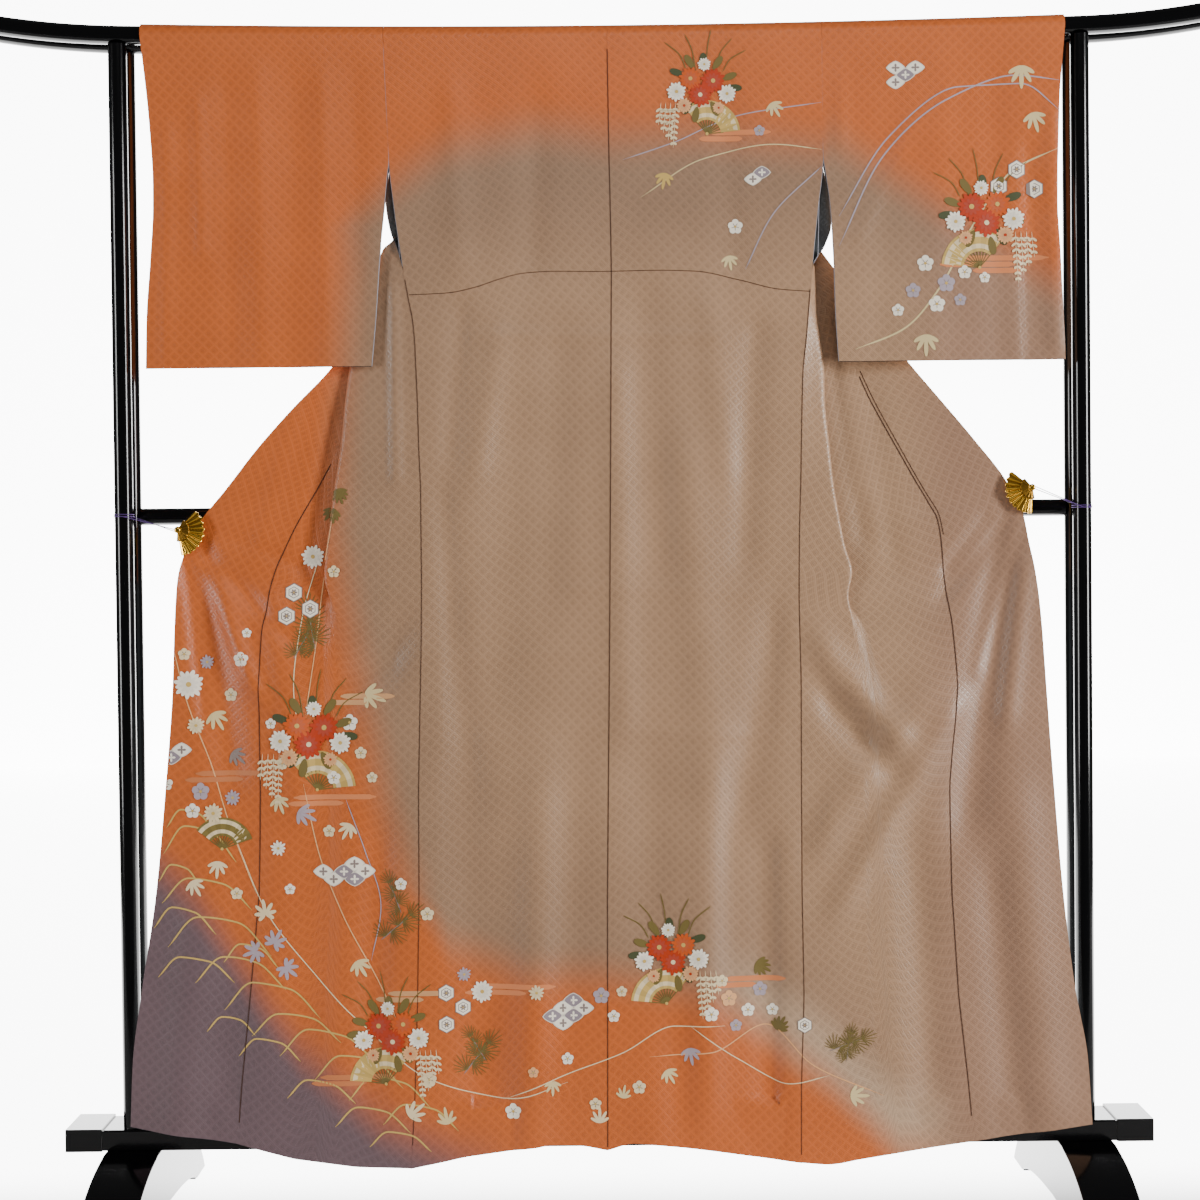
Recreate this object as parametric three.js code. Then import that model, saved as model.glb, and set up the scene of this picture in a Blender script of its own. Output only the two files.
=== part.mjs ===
// A lined silk kimono hung by its shoulders on the front bar of a double-bar display stand.
// Its back faces -Y. Each front is folded to and fro behind the back and drawn out sideways by a
// fan clip tied to the stand. Millimetres, +X to the wearer's right, +Z up; the floor is Z = 0.
import * as THREE from "three";

// Cloth.
const CLOTH = 2; // outer silk and lining together
const COLLAR_CLOTH = 2.6; // the collar is folded in two
const SEAM_GAP = 0.3;
const SEAM_CALM = 40; // soft folds die out this close to a side seam
const LAYER_STEP = 7; // from one layer of a folded front to the next
const NECK = { left: -84, right: 96 };
const CENTRE_COLUMNS = 2; // grid columns between the centre seam and the neck point
const PANEL_COLUMNS = 12; // grid columns between the neck point and the side
const OKUMI_COLUMNS = 4;
const SLEEVE_COLUMNS = 6;
const COLLAR_WIDTH = 55;
const COLLAR_CLEARANCE = 2.4; // room between the collar and the front that it is folded behind
const COLLAR_END = 960; // height of the collar's lower ends
const KENSAKI = 1530; // height of the overlap panels' top points

// Stand.
const TUBE_RADIUS = 13.5;
const CROSSBAR_RADIUS = 12.5;
const POST_X = 700;
const ARCH_Y = 27; // the front arch stands at -ARCH_Y, the rear one at +ARCH_Y
const BAR_HEIGHT = 1751.5; // centreline at the posts
const BAR_SAG = 9.5;
const BAR_END = 950;
const CROSSBAR_HEIGHT = 1052;
const BEAM = { half: 795, depth: 86, bottom: 124, top: 153 };
const FOOT = { x: 696, width: 80, pad: 4 };
const TOUCH = 0.3; // gap kept between pieces that rest on each other

// How the cloth stands off the front bar.
const DRAPE_RADIUS = TUBE_RADIUS + 1.5 + CLOTH / 2;
const COLLAR_RADIUS = DRAPE_RADIUS + CLOTH / 2 + SEAM_GAP + COLLAR_CLOTH / 2;
const OVER_BAR = [0, 30, 60, 90, 120, 150, 180]; // degrees round the bar, from the back panel
const NECK_EDGE = 4; // the back neck ends at this entry of OVER_BAR

const BLACK = new THREE.MeshStandardMaterial({ color: 0x0b0b0d, roughness: 0.12, metalness: 0.1 });
const RUBBER = new THREE.MeshStandardMaterial({ color: 0x1a1a1a, roughness: 0.8 });
const GOLD = new THREE.MeshStandardMaterial({ color: 0xb8923e, roughness: 0.3, metalness: 1 });
const THREAD = new THREE.MeshStandardMaterial({ color: 0x4b2b6e, roughness: 0.7 });
const SILK = new THREE.MeshStandardMaterial({ color: 0xa08670, roughness: 0.5 });
const ORANGE_SILK = new THREE.MeshStandardMaterial({ color: 0xc97548, roughness: 0.5 });

// Distances from X = 0 down each half of the garment. "side" is the side seam, and above it the
// free side edge of the front. The front runs from it outward to "fold", back in to "inner" and
// out again to "seam", where the overlap panel (okumi) goes on to "edge", the free front edge.
const LEFT_FRONT = [
  { z: 1735, side: 311.5, fold: 311.5, inner: 84, seam: 84, edge: 84 },
  { z: 1690, side: 309.8, fold: 309.8, inner: 95, seam: 113, edge: 113 },
  { z: 1630, side: 307.4, fold: 307.4, inner: 108, seam: 148, edge: 148 },
  { z: 1565, side: 305, fold: 305, inner: 122, seam: 190, edge: 190 },
  { z: 1510, side: 312, fold: 312, inner: 134, seam: 208, edge: 222 },
  { z: 1467, side: 306, fold: 306, inner: 138, seam: 224, edge: 249 },
  { z: 1435, side: 295, fold: 316, inner: 158, seam: 238, edge: 271 },
  { z: 1402, side: 286, fold: 326, inner: 178, seam: 253, edge: 294 },
  { z: 1370, side: 281, fold: 336, inner: 195, seam: 267, edge: 317 },
  { z: 1335, side: 274, fold: 346, inner: 212, seam: 282, edge: 342 },
  { z: 1300, side: 271, fold: 356, inner: 227, seam: 297, edge: 367 },
  { z: 1259, side: 269.5, fold: 367, inner: 242, seam: 313, edge: 399 },
  { z: 1210, side: 268, fold: 374, inner: 259, seam: 344, edge: 447 },
  { z: 1152, side: 267, fold: 380, inner: 281, seam: 382, edge: 500 },
  { z: 1090, side: 265, fold: 390, inner: 316, seam: 416, edge: 549 },
  { z: 1039, side: 265, fold: 397, inner: 347, seam: 446, edge: 590 },
  { z: 997, side: 265, fold: 403, inner: 370, seam: 467, edge: 612 },
  { z: 960, side: 265, fold: 406, inner: 384, seam: 484, edge: 621 },
  { z: 925, side: 265.5, fold: 395, inner: 405, seam: 489, edge: 624 },
  { z: 880, side: 266, fold: 380, inner: 420, seam: 499, edge: 626 },
  { z: 800, side: 268.5, fold: 365, inner: 430, seam: 503, edge: 629 },
  { z: 650, side: 273, fold: 350, inner: 430, seam: 503, edge: 641.5 },
  { z: 500, side: 274, fold: 350, inner: 430, seam: 507, edge: 657 },
  { z: 340, side: 278, fold: 355, inner: 440, seam: 523, edge: 678.5 },
  { z: 210, side: 283, fold: 360, inner: 450, seam: 537, edge: 693.5 },
  { z: 96, side: 290, fold: 368, inner: 458, seam: 545, edge: 698 },
];
const RIGHT_FRONT = [
  { z: 1735, side: 323.5, fold: 323.5, inner: 96, seam: 96, edge: 96 },
  { z: 1690, side: 323.5, fold: 323.5, inner: 114, seam: 138, edge: 138 },
  { z: 1630, side: 323.5, fold: 323.5, inner: 132, seam: 180, edge: 180 },
  { z: 1565, side: 324, fold: 324, inner: 150, seam: 226, edge: 226 },
  { z: 1510, side: 333, fold: 333, inner: 167, seam: 250, edge: 264 },
  { z: 1467, side: 336, fold: 336, inner: 175, seam: 269, edge: 294 },
  { z: 1435, side: 326, fold: 326, inner: 176, seam: 284, edge: 317 },
  { z: 1402, side: 307, fold: 311, inner: 177, seam: 300, edge: 341 },
  { z: 1370, side: 304, fold: 312, inner: 184, seam: 316, edge: 366 },
  { z: 1335, side: 301, fold: 313, inner: 191, seam: 333, edge: 393 },
  { z: 1300, side: 298, fold: 318, inner: 202, seam: 350, edge: 420 },
  { z: 1259, side: 293, fold: 323.5, inner: 217, seam: 370, edge: 452 },
  { z: 1210, side: 291, fold: 324, inner: 222, seam: 392, edge: 493 },
  { z: 1152, side: 289.5, fold: 329, inner: 240, seam: 423, edge: 541 },
  { z: 1090, side: 288, fold: 335, inner: 268, seam: 457, edge: 588 },
  { z: 1039, side: 286, fold: 343, inner: 301, seam: 487, edge: 613 },
  { z: 997, side: 285, fold: 351, inner: 319, seam: 494, edge: 621 },
  { z: 960, side: 284.5, fold: 361, inner: 335, seam: 496, edge: 628 },
  { z: 925, side: 284, fold: 355, inner: 345, seam: 500, edge: 633 },
  { z: 880, side: 284.5, fold: 360, inner: 378, seam: 507, edge: 637 },
  { z: 800, side: 286, fold: 362, inner: 400, seam: 513, edge: 642 },
  { z: 650, side: 285, fold: 355, inner: 420, seam: 501, edge: 652 },
  { z: 500, side: 284.5, fold: 355, inner: 425, seam: 502, edge: 663.5 },
  { z: 340, side: 286, fold: 358, inner: 432, seam: 511, edge: 679 },
  { z: 210, side: 281, fold: 360, inner: 442, seam: 524.5, edge: 698 },
  { z: 96, side: 280, fold: 362, inner: 448, seam: 534, edge: 704 },
];

// The back's free side edges between armhole and side seam, and the centre back seam.
const BACK_SIDE = [
  { z: 1750, left: 311.5, right: 323.5, centre: 12.6 },
  { z: 1565, left: 305, right: 324, centre: 14 },
  { z: 1500, left: 299, right: 317, centre: 15 },
  { z: 1402, left: 286, right: 307, centre: 15.7 },
  { z: 1140, left: 267, right: 289.5, centre: 12 },
  { z: 863, left: 266, right: 284, centre: 7.6 },
  { z: 485, left: 274, right: 284.5, centre: 0.6 },
  { z: 96, left: 290, right: 280, centre: -3 },
];

// Sleeves: distances of the wrist edge and the body edge from X = 0, and how far forward the
// near and far layers hang.
const SLEEVES = [
  { z: 1740, leftOuter: 664, leftInner: 311.9, rightOuter: 676, rightInner: 323.8, near: -43, far: -11 },
  { z: 1640, leftOuter: 653, leftInner: 308.2, rightOuter: 667, rightInner: 323.8, near: -43.3, far: -18 },
  { z: 1565, leftOuter: 648, leftInner: 305.4, rightOuter: 664, rightInner: 324.4, near: -44, far: -23.5 },
  { z: 1540, leftOuter: 647, leftInner: 308, rightOuter: 663, rightInner: 327.5, near: -44.6, far: -28.5 },
  { z: 1490, leftOuter: 648, leftInner: 313, rightOuter: 663, rightInner: 334, near: -46, far: -37 },
  { z: 1420, leftOuter: 652, leftInner: 320, rightOuter: 666, rightInner: 338, near: -48, far: -43.5 },
  { z: 1340, leftOuter: 658, leftInner: 326, rightOuter: 669, rightInner: 340, near: -49.5, far: -46 },
  { z: 1265, leftOuter: 660, leftInner: 333, rightOuter: 672, rightInner: 344, near: -50, far: -47.7 },
];
const CUFF_BOTTOM = 1535; // the wrist edges are sewn together below this

const HEM = [
  { x: -698, z: 162 }, { x: -653, z: 153 }, { x: -545, z: 135 }, { x: -463, z: 112 },
  { x: -371, z: 99 }, { x: -290, z: 96 }, { x: -208, z: 112 }, { x: -67, z: 131 },
  { x: -3, z: 120 }, { x: 41, z: 131 }, { x: 148, z: 118 }, { x: 240, z: 104 },
  { x: 312, z: 94 }, { x: 451, z: 116 }, { x: 534, z: 128 }, { x: 704, z: 151 },
];
const HEM_LEVEL = 96; // the level that the hem's own rise is counted from
const HEM_REACH = 500; // the hem's rise has died out at this height

// How far forward each layer hangs, by height.
const DEPTHS = [
  { z: 1740, back: -43, side: -11, fold: -18, edge: -11 },
  { z: 1565, back: -43.7, side: -23.2, fold: -32, edge: -18 },
  { z: 1510, back: -43.9, side: -24.5, fold: -35, edge: -20 },
  { z: 1467, back: -44, side: -30, fold: -37, edge: -22 },
  { z: 1435, back: -44, side: -37, fold: -37, edge: -24 },
  { z: 1402, back: -44.3, side: -44.3, fold: -37, edge: -26 },
  { z: 1259, back: -45, side: -45, fold: -37, edge: -30 },
  { z: 1152, back: -45.5, side: -45.5, fold: -42, edge: -33 },
  { z: 1039, back: -46, side: -46, fold: -46, edge: -36 },
  { z: 960, back: -46.4, side: -46.4, fold: -46.4, edge: -40 },
  { z: 850, back: -46.8, side: -46.8, fold: -46.8, edge: -44 },
  { z: 96, back: -50, side: -50, fold: -50, edge: -52 },
];
// How much of LAYER_STEP is left where the fold dies out into the open skirt.
const FOLD_FADE = [
  { z: 960, share: 1 },
  { z: 925, share: 0.7 },
  { z: 880, share: 0.35 },
  { z: 800, share: 0 },
];

// The largest soft folds, each a line from one point to another: a trough where depth is above
// zero, a ridge where it is below.
const FOLDS = [
  { x1: -125, z1: 1145, x2: -160, z2: 800, reach: 45, depth: 6 },
  { x1: -292, z1: 860, x2: -378, z2: 785, reach: 32, depth: 7 },
  { x1: -590, z1: 985, x2: -548, z2: 700, reach: 28, depth: 7 },
  { x1: -420, z1: 620, x2: -445, z2: 250, reach: 40, depth: 5 },
  { x1: 585, z1: 985, x2: 530, z2: 620, reach: 30, depth: 7 },
  { x1: 315, z1: 845, x2: 408, z2: 736, reach: 24, depth: -6 },
  { x1: 335, z1: 765, x2: 390, z2: 700, reach: 24, depth: 6 },
  { x1: 308, z1: 575, x2: 452, z2: 749, reach: 30, depth: -6 },
  { x1: 190, z1: 560, x2: 215, z2: 230, reach: 45, depth: 5 },
];

const lerp = THREE.MathUtils.lerp;
const radians = THREE.MathUtils.degToRad;

// A column of a table at any height or place, read between its rows.
function read(table, key, at, by = "z") {
  const rising = table[0][by] < table[table.length - 1][by];
  const rows = rising ? table : [...table].reverse();
  if (at <= rows[0][by]) return rows[0][key];
  for (let i = 1; i < rows.length; i++) {
    const low = rows[i - 1];
    const high = rows[i];
    if (at <= high[by]) return lerp(low[key], high[key], (at - low[by]) / (high[by] - low[by]));
  }
  return rows[rows.length - 1][key];
}

function rowAt(table, z) {
  const row = { z };
  for (const key of ["side", "fold", "inner", "seam", "edge"]) row[key] = read(table, key, z);
  return row;
}

// Centreline height of the top bars.
function barHeight(x) {
  const past = Math.abs(x) - POST_X;
  if (past <= 0) return BAR_HEIGHT - BAR_SAG * (1 - (x / POST_X) ** 2);
  return BAR_HEIGHT + 0.027 * past + 3.8e-4 * past * past;
}

function hemRise(x, z) {
  const share = THREE.MathUtils.clamp((HEM_REACH - z) / (HEM_REACH - HEM_LEVEL), 0, 1);
  return share * (read(HEM, "z", x, "x") - HEM_LEVEL);
}

function foldDepth(x, z) {
  let sum = 0;
  for (const { x1, z1, x2, z2, reach, depth } of FOLDS) {
    const length = Math.hypot(x2 - x1, z2 - z1);
    const along = ((x - x1) * (x2 - x1) + (z - z1) * (z2 - z1)) / length;
    const across = ((x - x1) * (z2 - z1) - (z - z1) * (x2 - x1)) / length;
    const past = Math.max(-along, along - length, 0);
    sum += depth * Math.exp(-((across / reach) ** 2) - (past / (2 * reach)) ** 2);
  }
  return sum;
}

function geometryOf(positions, triangles) {
  const geometry = new THREE.BufferGeometry();
  geometry.setAttribute("position", new THREE.Float32BufferAttribute(positions, 3));
  geometry.setIndex(triangles);
  geometry.computeVertexNormals();
  return geometry;
}

// A closed wall of even thickness on a grid of points. Cells that "present" turns down are left
// out, and every open edge gets a wall. Rows times columns run so that their cross product
// points to the wall's outside.
function clothWall(grid, thickness, present = () => true) {
  const rows = grid.length;
  const columns = grid[0].length;
  const cells = [];
  for (let r = 0; r < rows - 1; r++)
    for (let c = 0; c < columns - 1; c++)
      if (present(r, c)) cells.push([r, c]);

  const at = (r, c) => r * columns + c;
  const normals = Array.from({ length: rows * columns }, () => new THREE.Vector3());
  for (const [r, c] of cells) {
    const along = grid[r + 1][c + 1].clone().sub(grid[r][c]);
    const across = grid[r + 1][c].clone().sub(grid[r][c + 1]);
    const normal = along.cross(across).normalize();
    for (const [dr, dc] of [[0, 0], [0, 1], [1, 0], [1, 1]])
      normals[at(r + dr, c + dc)].add(normal);
  }

  const front = new Map();
  const positions = [];
  for (const [r, c] of cells)
    for (const [dr, dc] of [[0, 0], [0, 1], [1, 0], [1, 1]]) {
      const key = at(r + dr, c + dc);
      if (front.has(key)) continue;
      front.set(key, positions.length / 3);
      const offset = normals[key].clone().normalize().multiplyScalar(thickness / 2);
      const middle = grid[r + dr][c + dc];
      positions.push(...middle.clone().add(offset).toArray(), ...middle.clone().sub(offset).toArray());
    }

  const triangles = [];
  const edges = new Map();
  const quad = (a, b, c, d) => triangles.push(a, b, c, a, c, d);
  for (const [r, c] of cells) {
    const ring = [at(r, c), at(r + 1, c), at(r + 1, c + 1), at(r, c + 1)];
    const top = ring.map((key) => front.get(key));
    quad(top[3], top[2], top[1], top[0]);
    quad(top[0] + 1, top[1] + 1, top[2] + 1, top[3] + 1);
    for (let i = 0; i < 4; i++) {
      const from = top[i];
      const to = top[(i + 1) % 4];
      if (!edges.delete(to + "/" + from)) edges.set(from + "/" + to, [from, to]);
    }
  }
  for (const [from, to] of edges.values()) quad(from, to, to + 1, from + 1);
  return geometryOf(positions, triangles);
}

// One point of a front's middle surface: "column" counts from the side edge to the okumi seam.
function frontPoint(side, row, column) {
  const sign = side === "left" ? -1 : 1;
  const { z, side: s, fold: f, inner: b, seam: k } = row;
  const depths = {};
  for (const key of ["side", "fold", "back"]) depths[key] = read(DEPTHS, key, z);
  const step = LAYER_STEP * read(FOLD_FADE, "share", z);
  let x;
  let y;
  if (z >= LEFT_FRONT[0].z) {
    x = lerp(s, b, column / PANEL_COLUMNS);
    y = depths.side;
  } else if (f <= s) {
    // No outward stretch: straight in to the inner fold, then out again.
    const round = Math.min(step / 2, (k - b) / 3);
    const xs = [s, s - 8, s - 18, s - 30, s - 44];
    xs.push(lerp(s - 44, b + round, 0.35), lerp(s - 44, b + round, 0.7), b + round, b, b + round);
    xs.push(lerp(b + round, k, 0.35), lerp(b + round, k, 0.7), k);
    x = xs[column];
    y = depths.side + [0, 0, 0, 0, 0, 0, 0, 0, 0.5, 1, 1, 1, 1][column] * 2 * round;
  } else if (f > b) {
    const outer = Math.min(step / 2, (f - s) / 2);
    const round = step / 2;
    const xs = [s, lerp(s, f - outer, 0.5), f - outer, f, f - outer];
    xs.push(lerp(f - outer, b + round, 0.33), lerp(f - outer, b + round, 0.67), b + round, b, b + round);
    xs.push(lerp(b + round, k, 0.35), lerp(b + round, k, 0.7), k);
    x = xs[column];
    const shares = [0, 0, 0, 0.25, 0.5, 0.5, 0.5, 0.5, 0.75, 1, 1, 1, 1];
    const start = column === 0 ? depths.side : column === 1 ? (depths.side + depths.fold) / 2 : depths.fold;
    y = start + shares[column] * 2 * step;
  } else {
    const xs = [s, lerp(s, f, 0.5)];
    for (let i = 0; i < 8; i++) xs.push(lerp(f, b, i / 7));
    xs.push(lerp(b, k, 0.35), lerp(b, k, 0.7), k);
    x = xs[column];
    const rise = THREE.MathUtils.smoothstep(x, f, b);
    y = depths.back + rise * 2 * step;
  }
  if (z < FOLD_FADE[1].z) y += foldDepth(sign * x, z) * Math.min(1, (x - s) / SEAM_CALM);
  return new THREE.Vector3(sign * x, y, z + hemRise(sign * x, z));
}

// One point of an overlap panel: "share" runs from the okumi seam to the free edge.
function okumiPoint(side, row, share) {
  const sign = side === "left" ? -1 : 1;
  const start = frontPoint(side, row, PANEL_COLUMNS);
  const x = lerp(row.seam, row.edge, share);
  const y = lerp(start.y, read(DEPTHS, "edge", row.z), share);
  const fold = row.z < FOLD_FADE[0].z ? foldDepth(sign * x, row.z) * Math.min(1, 2 * share) : 0;
  return new THREE.Vector3(sign * x, y + fold, row.z + hemRise(sign * x, row.z));
}

// A point of cloth lying on the front bar, "angle" degrees round from the back.
function overBar(x, angle, radius = DRAPE_RADIUS) {
  const turn = radians(angle);
  return new THREE.Vector3(x, -ARCH_Y - radius * Math.cos(turn), barHeight(x) + radius * Math.sin(turn));
}

// One body panel (migoro): a single length from the back hem over the shoulder to the front hem.
function bodyPanel(side) {
  const sign = side === "left" ? -1 : 1;
  const table = side === "left" ? LEFT_FRONT : RIGHT_FRONT;
  const columns = CENTRE_COLUMNS + PANEL_COLUMNS;
  const [shoulder] = BACK_SIDE;
  const width = sign * (sign * shoulder[side] - shoulder.centre);
  const neckShare = Math.abs(NECK[side] - shoulder.centre) / width;
  const share = (c) =>
    c <= CENTRE_COLUMNS
      ? (neckShare * c) / CENTRE_COLUMNS
      : lerp(neckShare, 1, (c - CENTRE_COLUMNS) / PANEL_COLUMNS);

  const backX = (z, c) => {
    const centre = read(BACK_SIDE, "centre", z) + (sign * SEAM_GAP) / 2;
    return lerp(centre, sign * read(BACK_SIDE, side, z), share(c));
  };
  const across = [...Array(columns + 1).keys()];
  const grid = [];
  for (const z of [96, 210, 340, 500, 650, 800, 925, 1039, 1152, 1259, 1335, 1402, 1480, 1565, 1650])
    grid.push(
      across.map((c) => {
        const x = backX(z, c);
        const calm = Math.min(1, Math.abs(x - backX(z, columns)) / SEAM_CALM);
        const y = read(DEPTHS, "back", z) + foldDepth(x, z) * calm;
        return new THREE.Vector3(x, y, z + hemRise(x, z));
      }),
    );
  const firstOverBar = grid.length;
  for (const angle of OVER_BAR) grid.push(across.map((c) => overBar(backX(BAR_HEIGHT, c), angle)));
  for (const row of table.slice(1))
    grid.push(
      across.map((c) => {
        const point = frontPoint(side, row, columns - Math.max(c, CENTRE_COLUMNS));
        const okumi = row.edge > row.seam && c === CENTRE_COLUMNS;
        if (okumi) point.x -= sign * SEAM_GAP;
        const joined = row.z <= BACK_SIDE[3].z && c === columns;
        if (joined) point.x += sign * SEAM_GAP;
        return point;
      }),
    );
  const pastNeck = firstOverBar + NECK_EDGE;
  // The front hangs with its outside away from the back panel, so both halves share one turn.
  const rows = side === "left" ? grid.map((row) => [...row].reverse()) : grid;
  const neckCell = (c) => (side === "left" ? c >= PANEL_COLUMNS : c < CENTRE_COLUMNS);
  return clothWall(rows, CLOTH, (r, c) => r < pastNeck || !neckCell(c));
}

// An overlap panel (okumi), from its point to the hem.
function okumi(side) {
  const table = side === "left" ? LEFT_FRONT : RIGHT_FRONT;
  const grid = [];
  for (const row of table) {
    if (row.z > KENSAKI) continue;
    const line = [];
    for (let c = 0; c <= OKUMI_COLUMNS; c++) line.push(okumiPoint(side, row, c / OKUMI_COLUMNS));
    if (side === "left") line.reverse();
    grid.push(line);
  }
  return clothWall(grid.reverse(), CLOTH);
}

// How far back the rear layer of a front hangs at one place.
function rearDepth(side, x, z) {
  const row = rowAt(side === "left" ? LEFT_FRONT : RIGHT_FRONT, Math.min(z, LEFT_FRONT[0].z));
  const width = Math.max(row.edge - row.seam, 1);
  return okumiPoint(side, row, THREE.MathUtils.clamp((x - row.seam) / width, 0, 1)).y;
}

// The collar: one band folded in two, behind the free front edges and round the back neck.
function collar() {
  const lengths = [0, 14, 27, 41, COLLAR_WIDTH];
  const behind = (CLOTH + COLLAR_CLOTH) / 2 + COLLAR_CLEARANCE;
  const half = (side) => {
    const sign = side === "left" ? -1 : 1;
    const table = side === "left" ? LEFT_FRONT : RIGHT_FRONT;
    const rows = table.filter((row) => row.z >= COLLAR_END && row.z < LEFT_FRONT[0].z);
    return rows.map((row, i) => {
      const above = i === 0 ? { edge: Math.abs(NECK[side]), z: LEFT_FRONT[0].z } : rows[i - 1];
      const below = rows[Math.min(i + 1, rows.length - 1)];
      const slope = new THREE.Vector2(below.edge - above.edge, below.z - above.z).normalize();
      return lengths.map((length) => {
        const x = row.edge - 1.2 + slope.y * length;
        const z = row.z - slope.x * length;
        return new THREE.Vector3(sign * x, rearDepth(side, x, z) + behind, z);
      });
    });
  };
  // Down from a place on the bar's far side, leaning outward by "lean" of each millimetre.
  const hung = (x, angles, drops, lean) => {
    const low = overBar(x, 180, COLLAR_RADIUS);
    const hanging = drops.map((drop) => low.clone().add(new THREE.Vector3(-lean * drop, 0, -drop)));
    return [...angles.map((angle) => overBar(x, angle, COLLAR_RADIUS)), ...hanging];
  };
  const turn = (side) => {
    const sign = side === "left" ? -1 : 1;
    const near = hung(NECK[side] - sign * 11, [150, 168], [0, 20, 42], sign * 0.38);
    const far = hung(NECK[side] - sign * 2.5, [172], [8, 21, 34, 48], sign * 0.4);
    return side === "left" ? [far, near] : [near, far];
  };
  const neck = [];
  for (let i = 0; i <= 4; i++) {
    const x = lerp(NECK.left + 26, NECK.right - 26, i / 4);
    neck.push(hung(x, [124, 150], [0, 18, 36], lerp(-0.12, 0.12, i / 4)));
  }
  const grid = [...half("left").reverse(), ...turn("left"), ...neck, ...turn("right"), ...half("right")];
  return clothWall(grid, COLLAR_CLOTH);
}

// A sleeve (sode): one length folded at the shoulder, its ends sewn together at the bottom.
function sleeve(side) {
  const sign = side === "left" ? -1 : 1;
  const outerKey = side + "Outer";
  const innerKey = side + "Inner";
  const line = (z, y, height) => {
    const points = [];
    for (let c = 0; c <= SLEEVE_COLUMNS; c++) {
      const x = sign * lerp(read(SLEEVES, innerKey, z), read(SLEEVES, outerKey, z), c / SLEEVE_COLUMNS);
      points.push(height(x, y, c / SLEEVE_COLUMNS));
    }
    return side === "left" ? points.reverse() : points;
  };
  // Below the cuff opening the two layers come together along the wrist edge.
  const layer = (row, key) => {
    const sewn = row.z < CUFF_BOTTOM ? 1 : 0;
    const middle = (row.near + row.far) / 2;
    const apart = ((CLOTH + SEAM_GAP) / 2) * (key === "near" ? -1 : 1);
    return line(row.z, row[key], (x, y, share) => {
      const pinch = sewn * Math.max(0, share * 3 - 2);
      return new THREE.Vector3(x, lerp(y, middle + apart, pinch), row.z);
    });
  };
  const below = SLEEVES.slice(1);
  const grid = [...below].reverse().map((row) => layer(row, "near"));
  for (const angle of OVER_BAR) grid.push(line(SLEEVES[0].z, 0, (x) => overBar(x, angle)));
  for (const row of below) grid.push(layer(row, "far"));
  return clothWall(grid, CLOTH);
}

// A bar or cord of round section along a curve.
function rod(curve, radius, steps, sides) {
  const ring = [];
  for (let i = 0; i < sides; i++) {
    const turn = (2 * Math.PI * i) / sides;
    ring.push(new THREE.Vector2(radius * Math.cos(turn), radius * Math.sin(turn)));
  }
  const options = { steps, bevelEnabled: false, extrudePath: curve };
  return new THREE.ExtrudeGeometry(new THREE.Shape(ring), options);
}

class TopBar extends THREE.Curve {
  getPoint(share, target = new THREE.Vector3()) {
    const x = lerp(-BAR_END, BAR_END, share);
    return target.set(x, 0, barHeight(x));
  }
}

// Half of a foot's side view, from the beam down to the toe and back along the hollow underside.
const FOOT_OUTLINE = [
  { y: 62, z: 0 }, { y: 118, z: -10 }, { y: 168, z: -26 }, { y: 214, z: -50 },
  { y: 250, z: -78 }, { y: 274, z: -104 }, { y: 285, z: -119.7 }, { y: 222, z: -119.7 },
  { y: 204, z: -112 }, { y: 150, z: -102 }, { y: 75, z: -95 }, { y: 0, z: -92 },
];
const PAD = { inner: 228, outer: 278 };

function foot() {
  const right = FOOT_OUTLINE.map(({ y, z }) => new THREE.Vector2(y, z));
  const left = FOOT_OUTLINE.slice(0, -1).reverse().map(({ y, z }) => new THREE.Vector2(-y, z));
  const options = { depth: FOOT.width, bevelEnabled: false };
  const solid = new THREE.ExtrudeGeometry(new THREE.Shape([...right, ...left]), options);
  // The outline's y and z become the part's, and the foot's width runs along X.
  solid.applyMatrix4(new THREE.Matrix4().set(0, 0, 1, -FOOT.width / 2, 1, 0, 0, 0, 0, 1, 0, 0, 0, 0, 0, 1));
  return solid;
}

const FAN = { radius: 38, root: 6.5, flutes: 10, wall: 1.2, flute: 1.3, sweep: 128 };
const JAW = { radius: 26, root: 6.5, wall: 1.6, sweep: 80 };
const PIVOT_RADIUS = 5;
const THREAD_RADIUS = 0.6;
// "aim" is the direction that a fan opens in, in degrees from +X towards +Z.
const CLIPS = {
  left: { x: -619, z: 1031, y: -38, tied: 1053, aim: -18 },
  right: { x: 624, z: 1080, y: -38, tied: 1052, aim: 206 },
};

// The pleated shell of a fan clip, in a plane facing -Y round its pivot.
function fan(aim) {
  const grid = [];
  const steps = 2 * FAN.flutes;
  for (const share of [0, 0.5, 1]) {
    const row = [];
    for (let i = 0; i <= steps; i++) {
      const turn = radians(aim + FAN.sweep * (i / steps - 0.5));
      const crest = i % 2 ? 1 : -1;
      const radius = lerp(FAN.root, FAN.radius, share) + crest * share;
      const y = crest * FAN.flute * (0.3 + 0.7 * share);
      row.push(new THREE.Vector3(radius * Math.cos(turn), y, radius * Math.sin(turn)));
    }
    grid.push(row);
  }
  return clothWall(grid, FAN.wall);
}

// The flat jaw behind the cloth.
function jaw(aim) {
  const grid = [];
  for (const radius of [JAW.root, JAW.radius]) {
    const row = [];
    for (let i = 0; i <= 8; i++) {
      const turn = radians(aim + JAW.sweep * (i / 8 - 0.5));
      row.push(new THREE.Vector3(radius * Math.cos(turn), 0, radius * Math.sin(turn)));
    }
    grid.push(row);
  }
  return clothWall(grid, JAW.wall);
}

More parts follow.
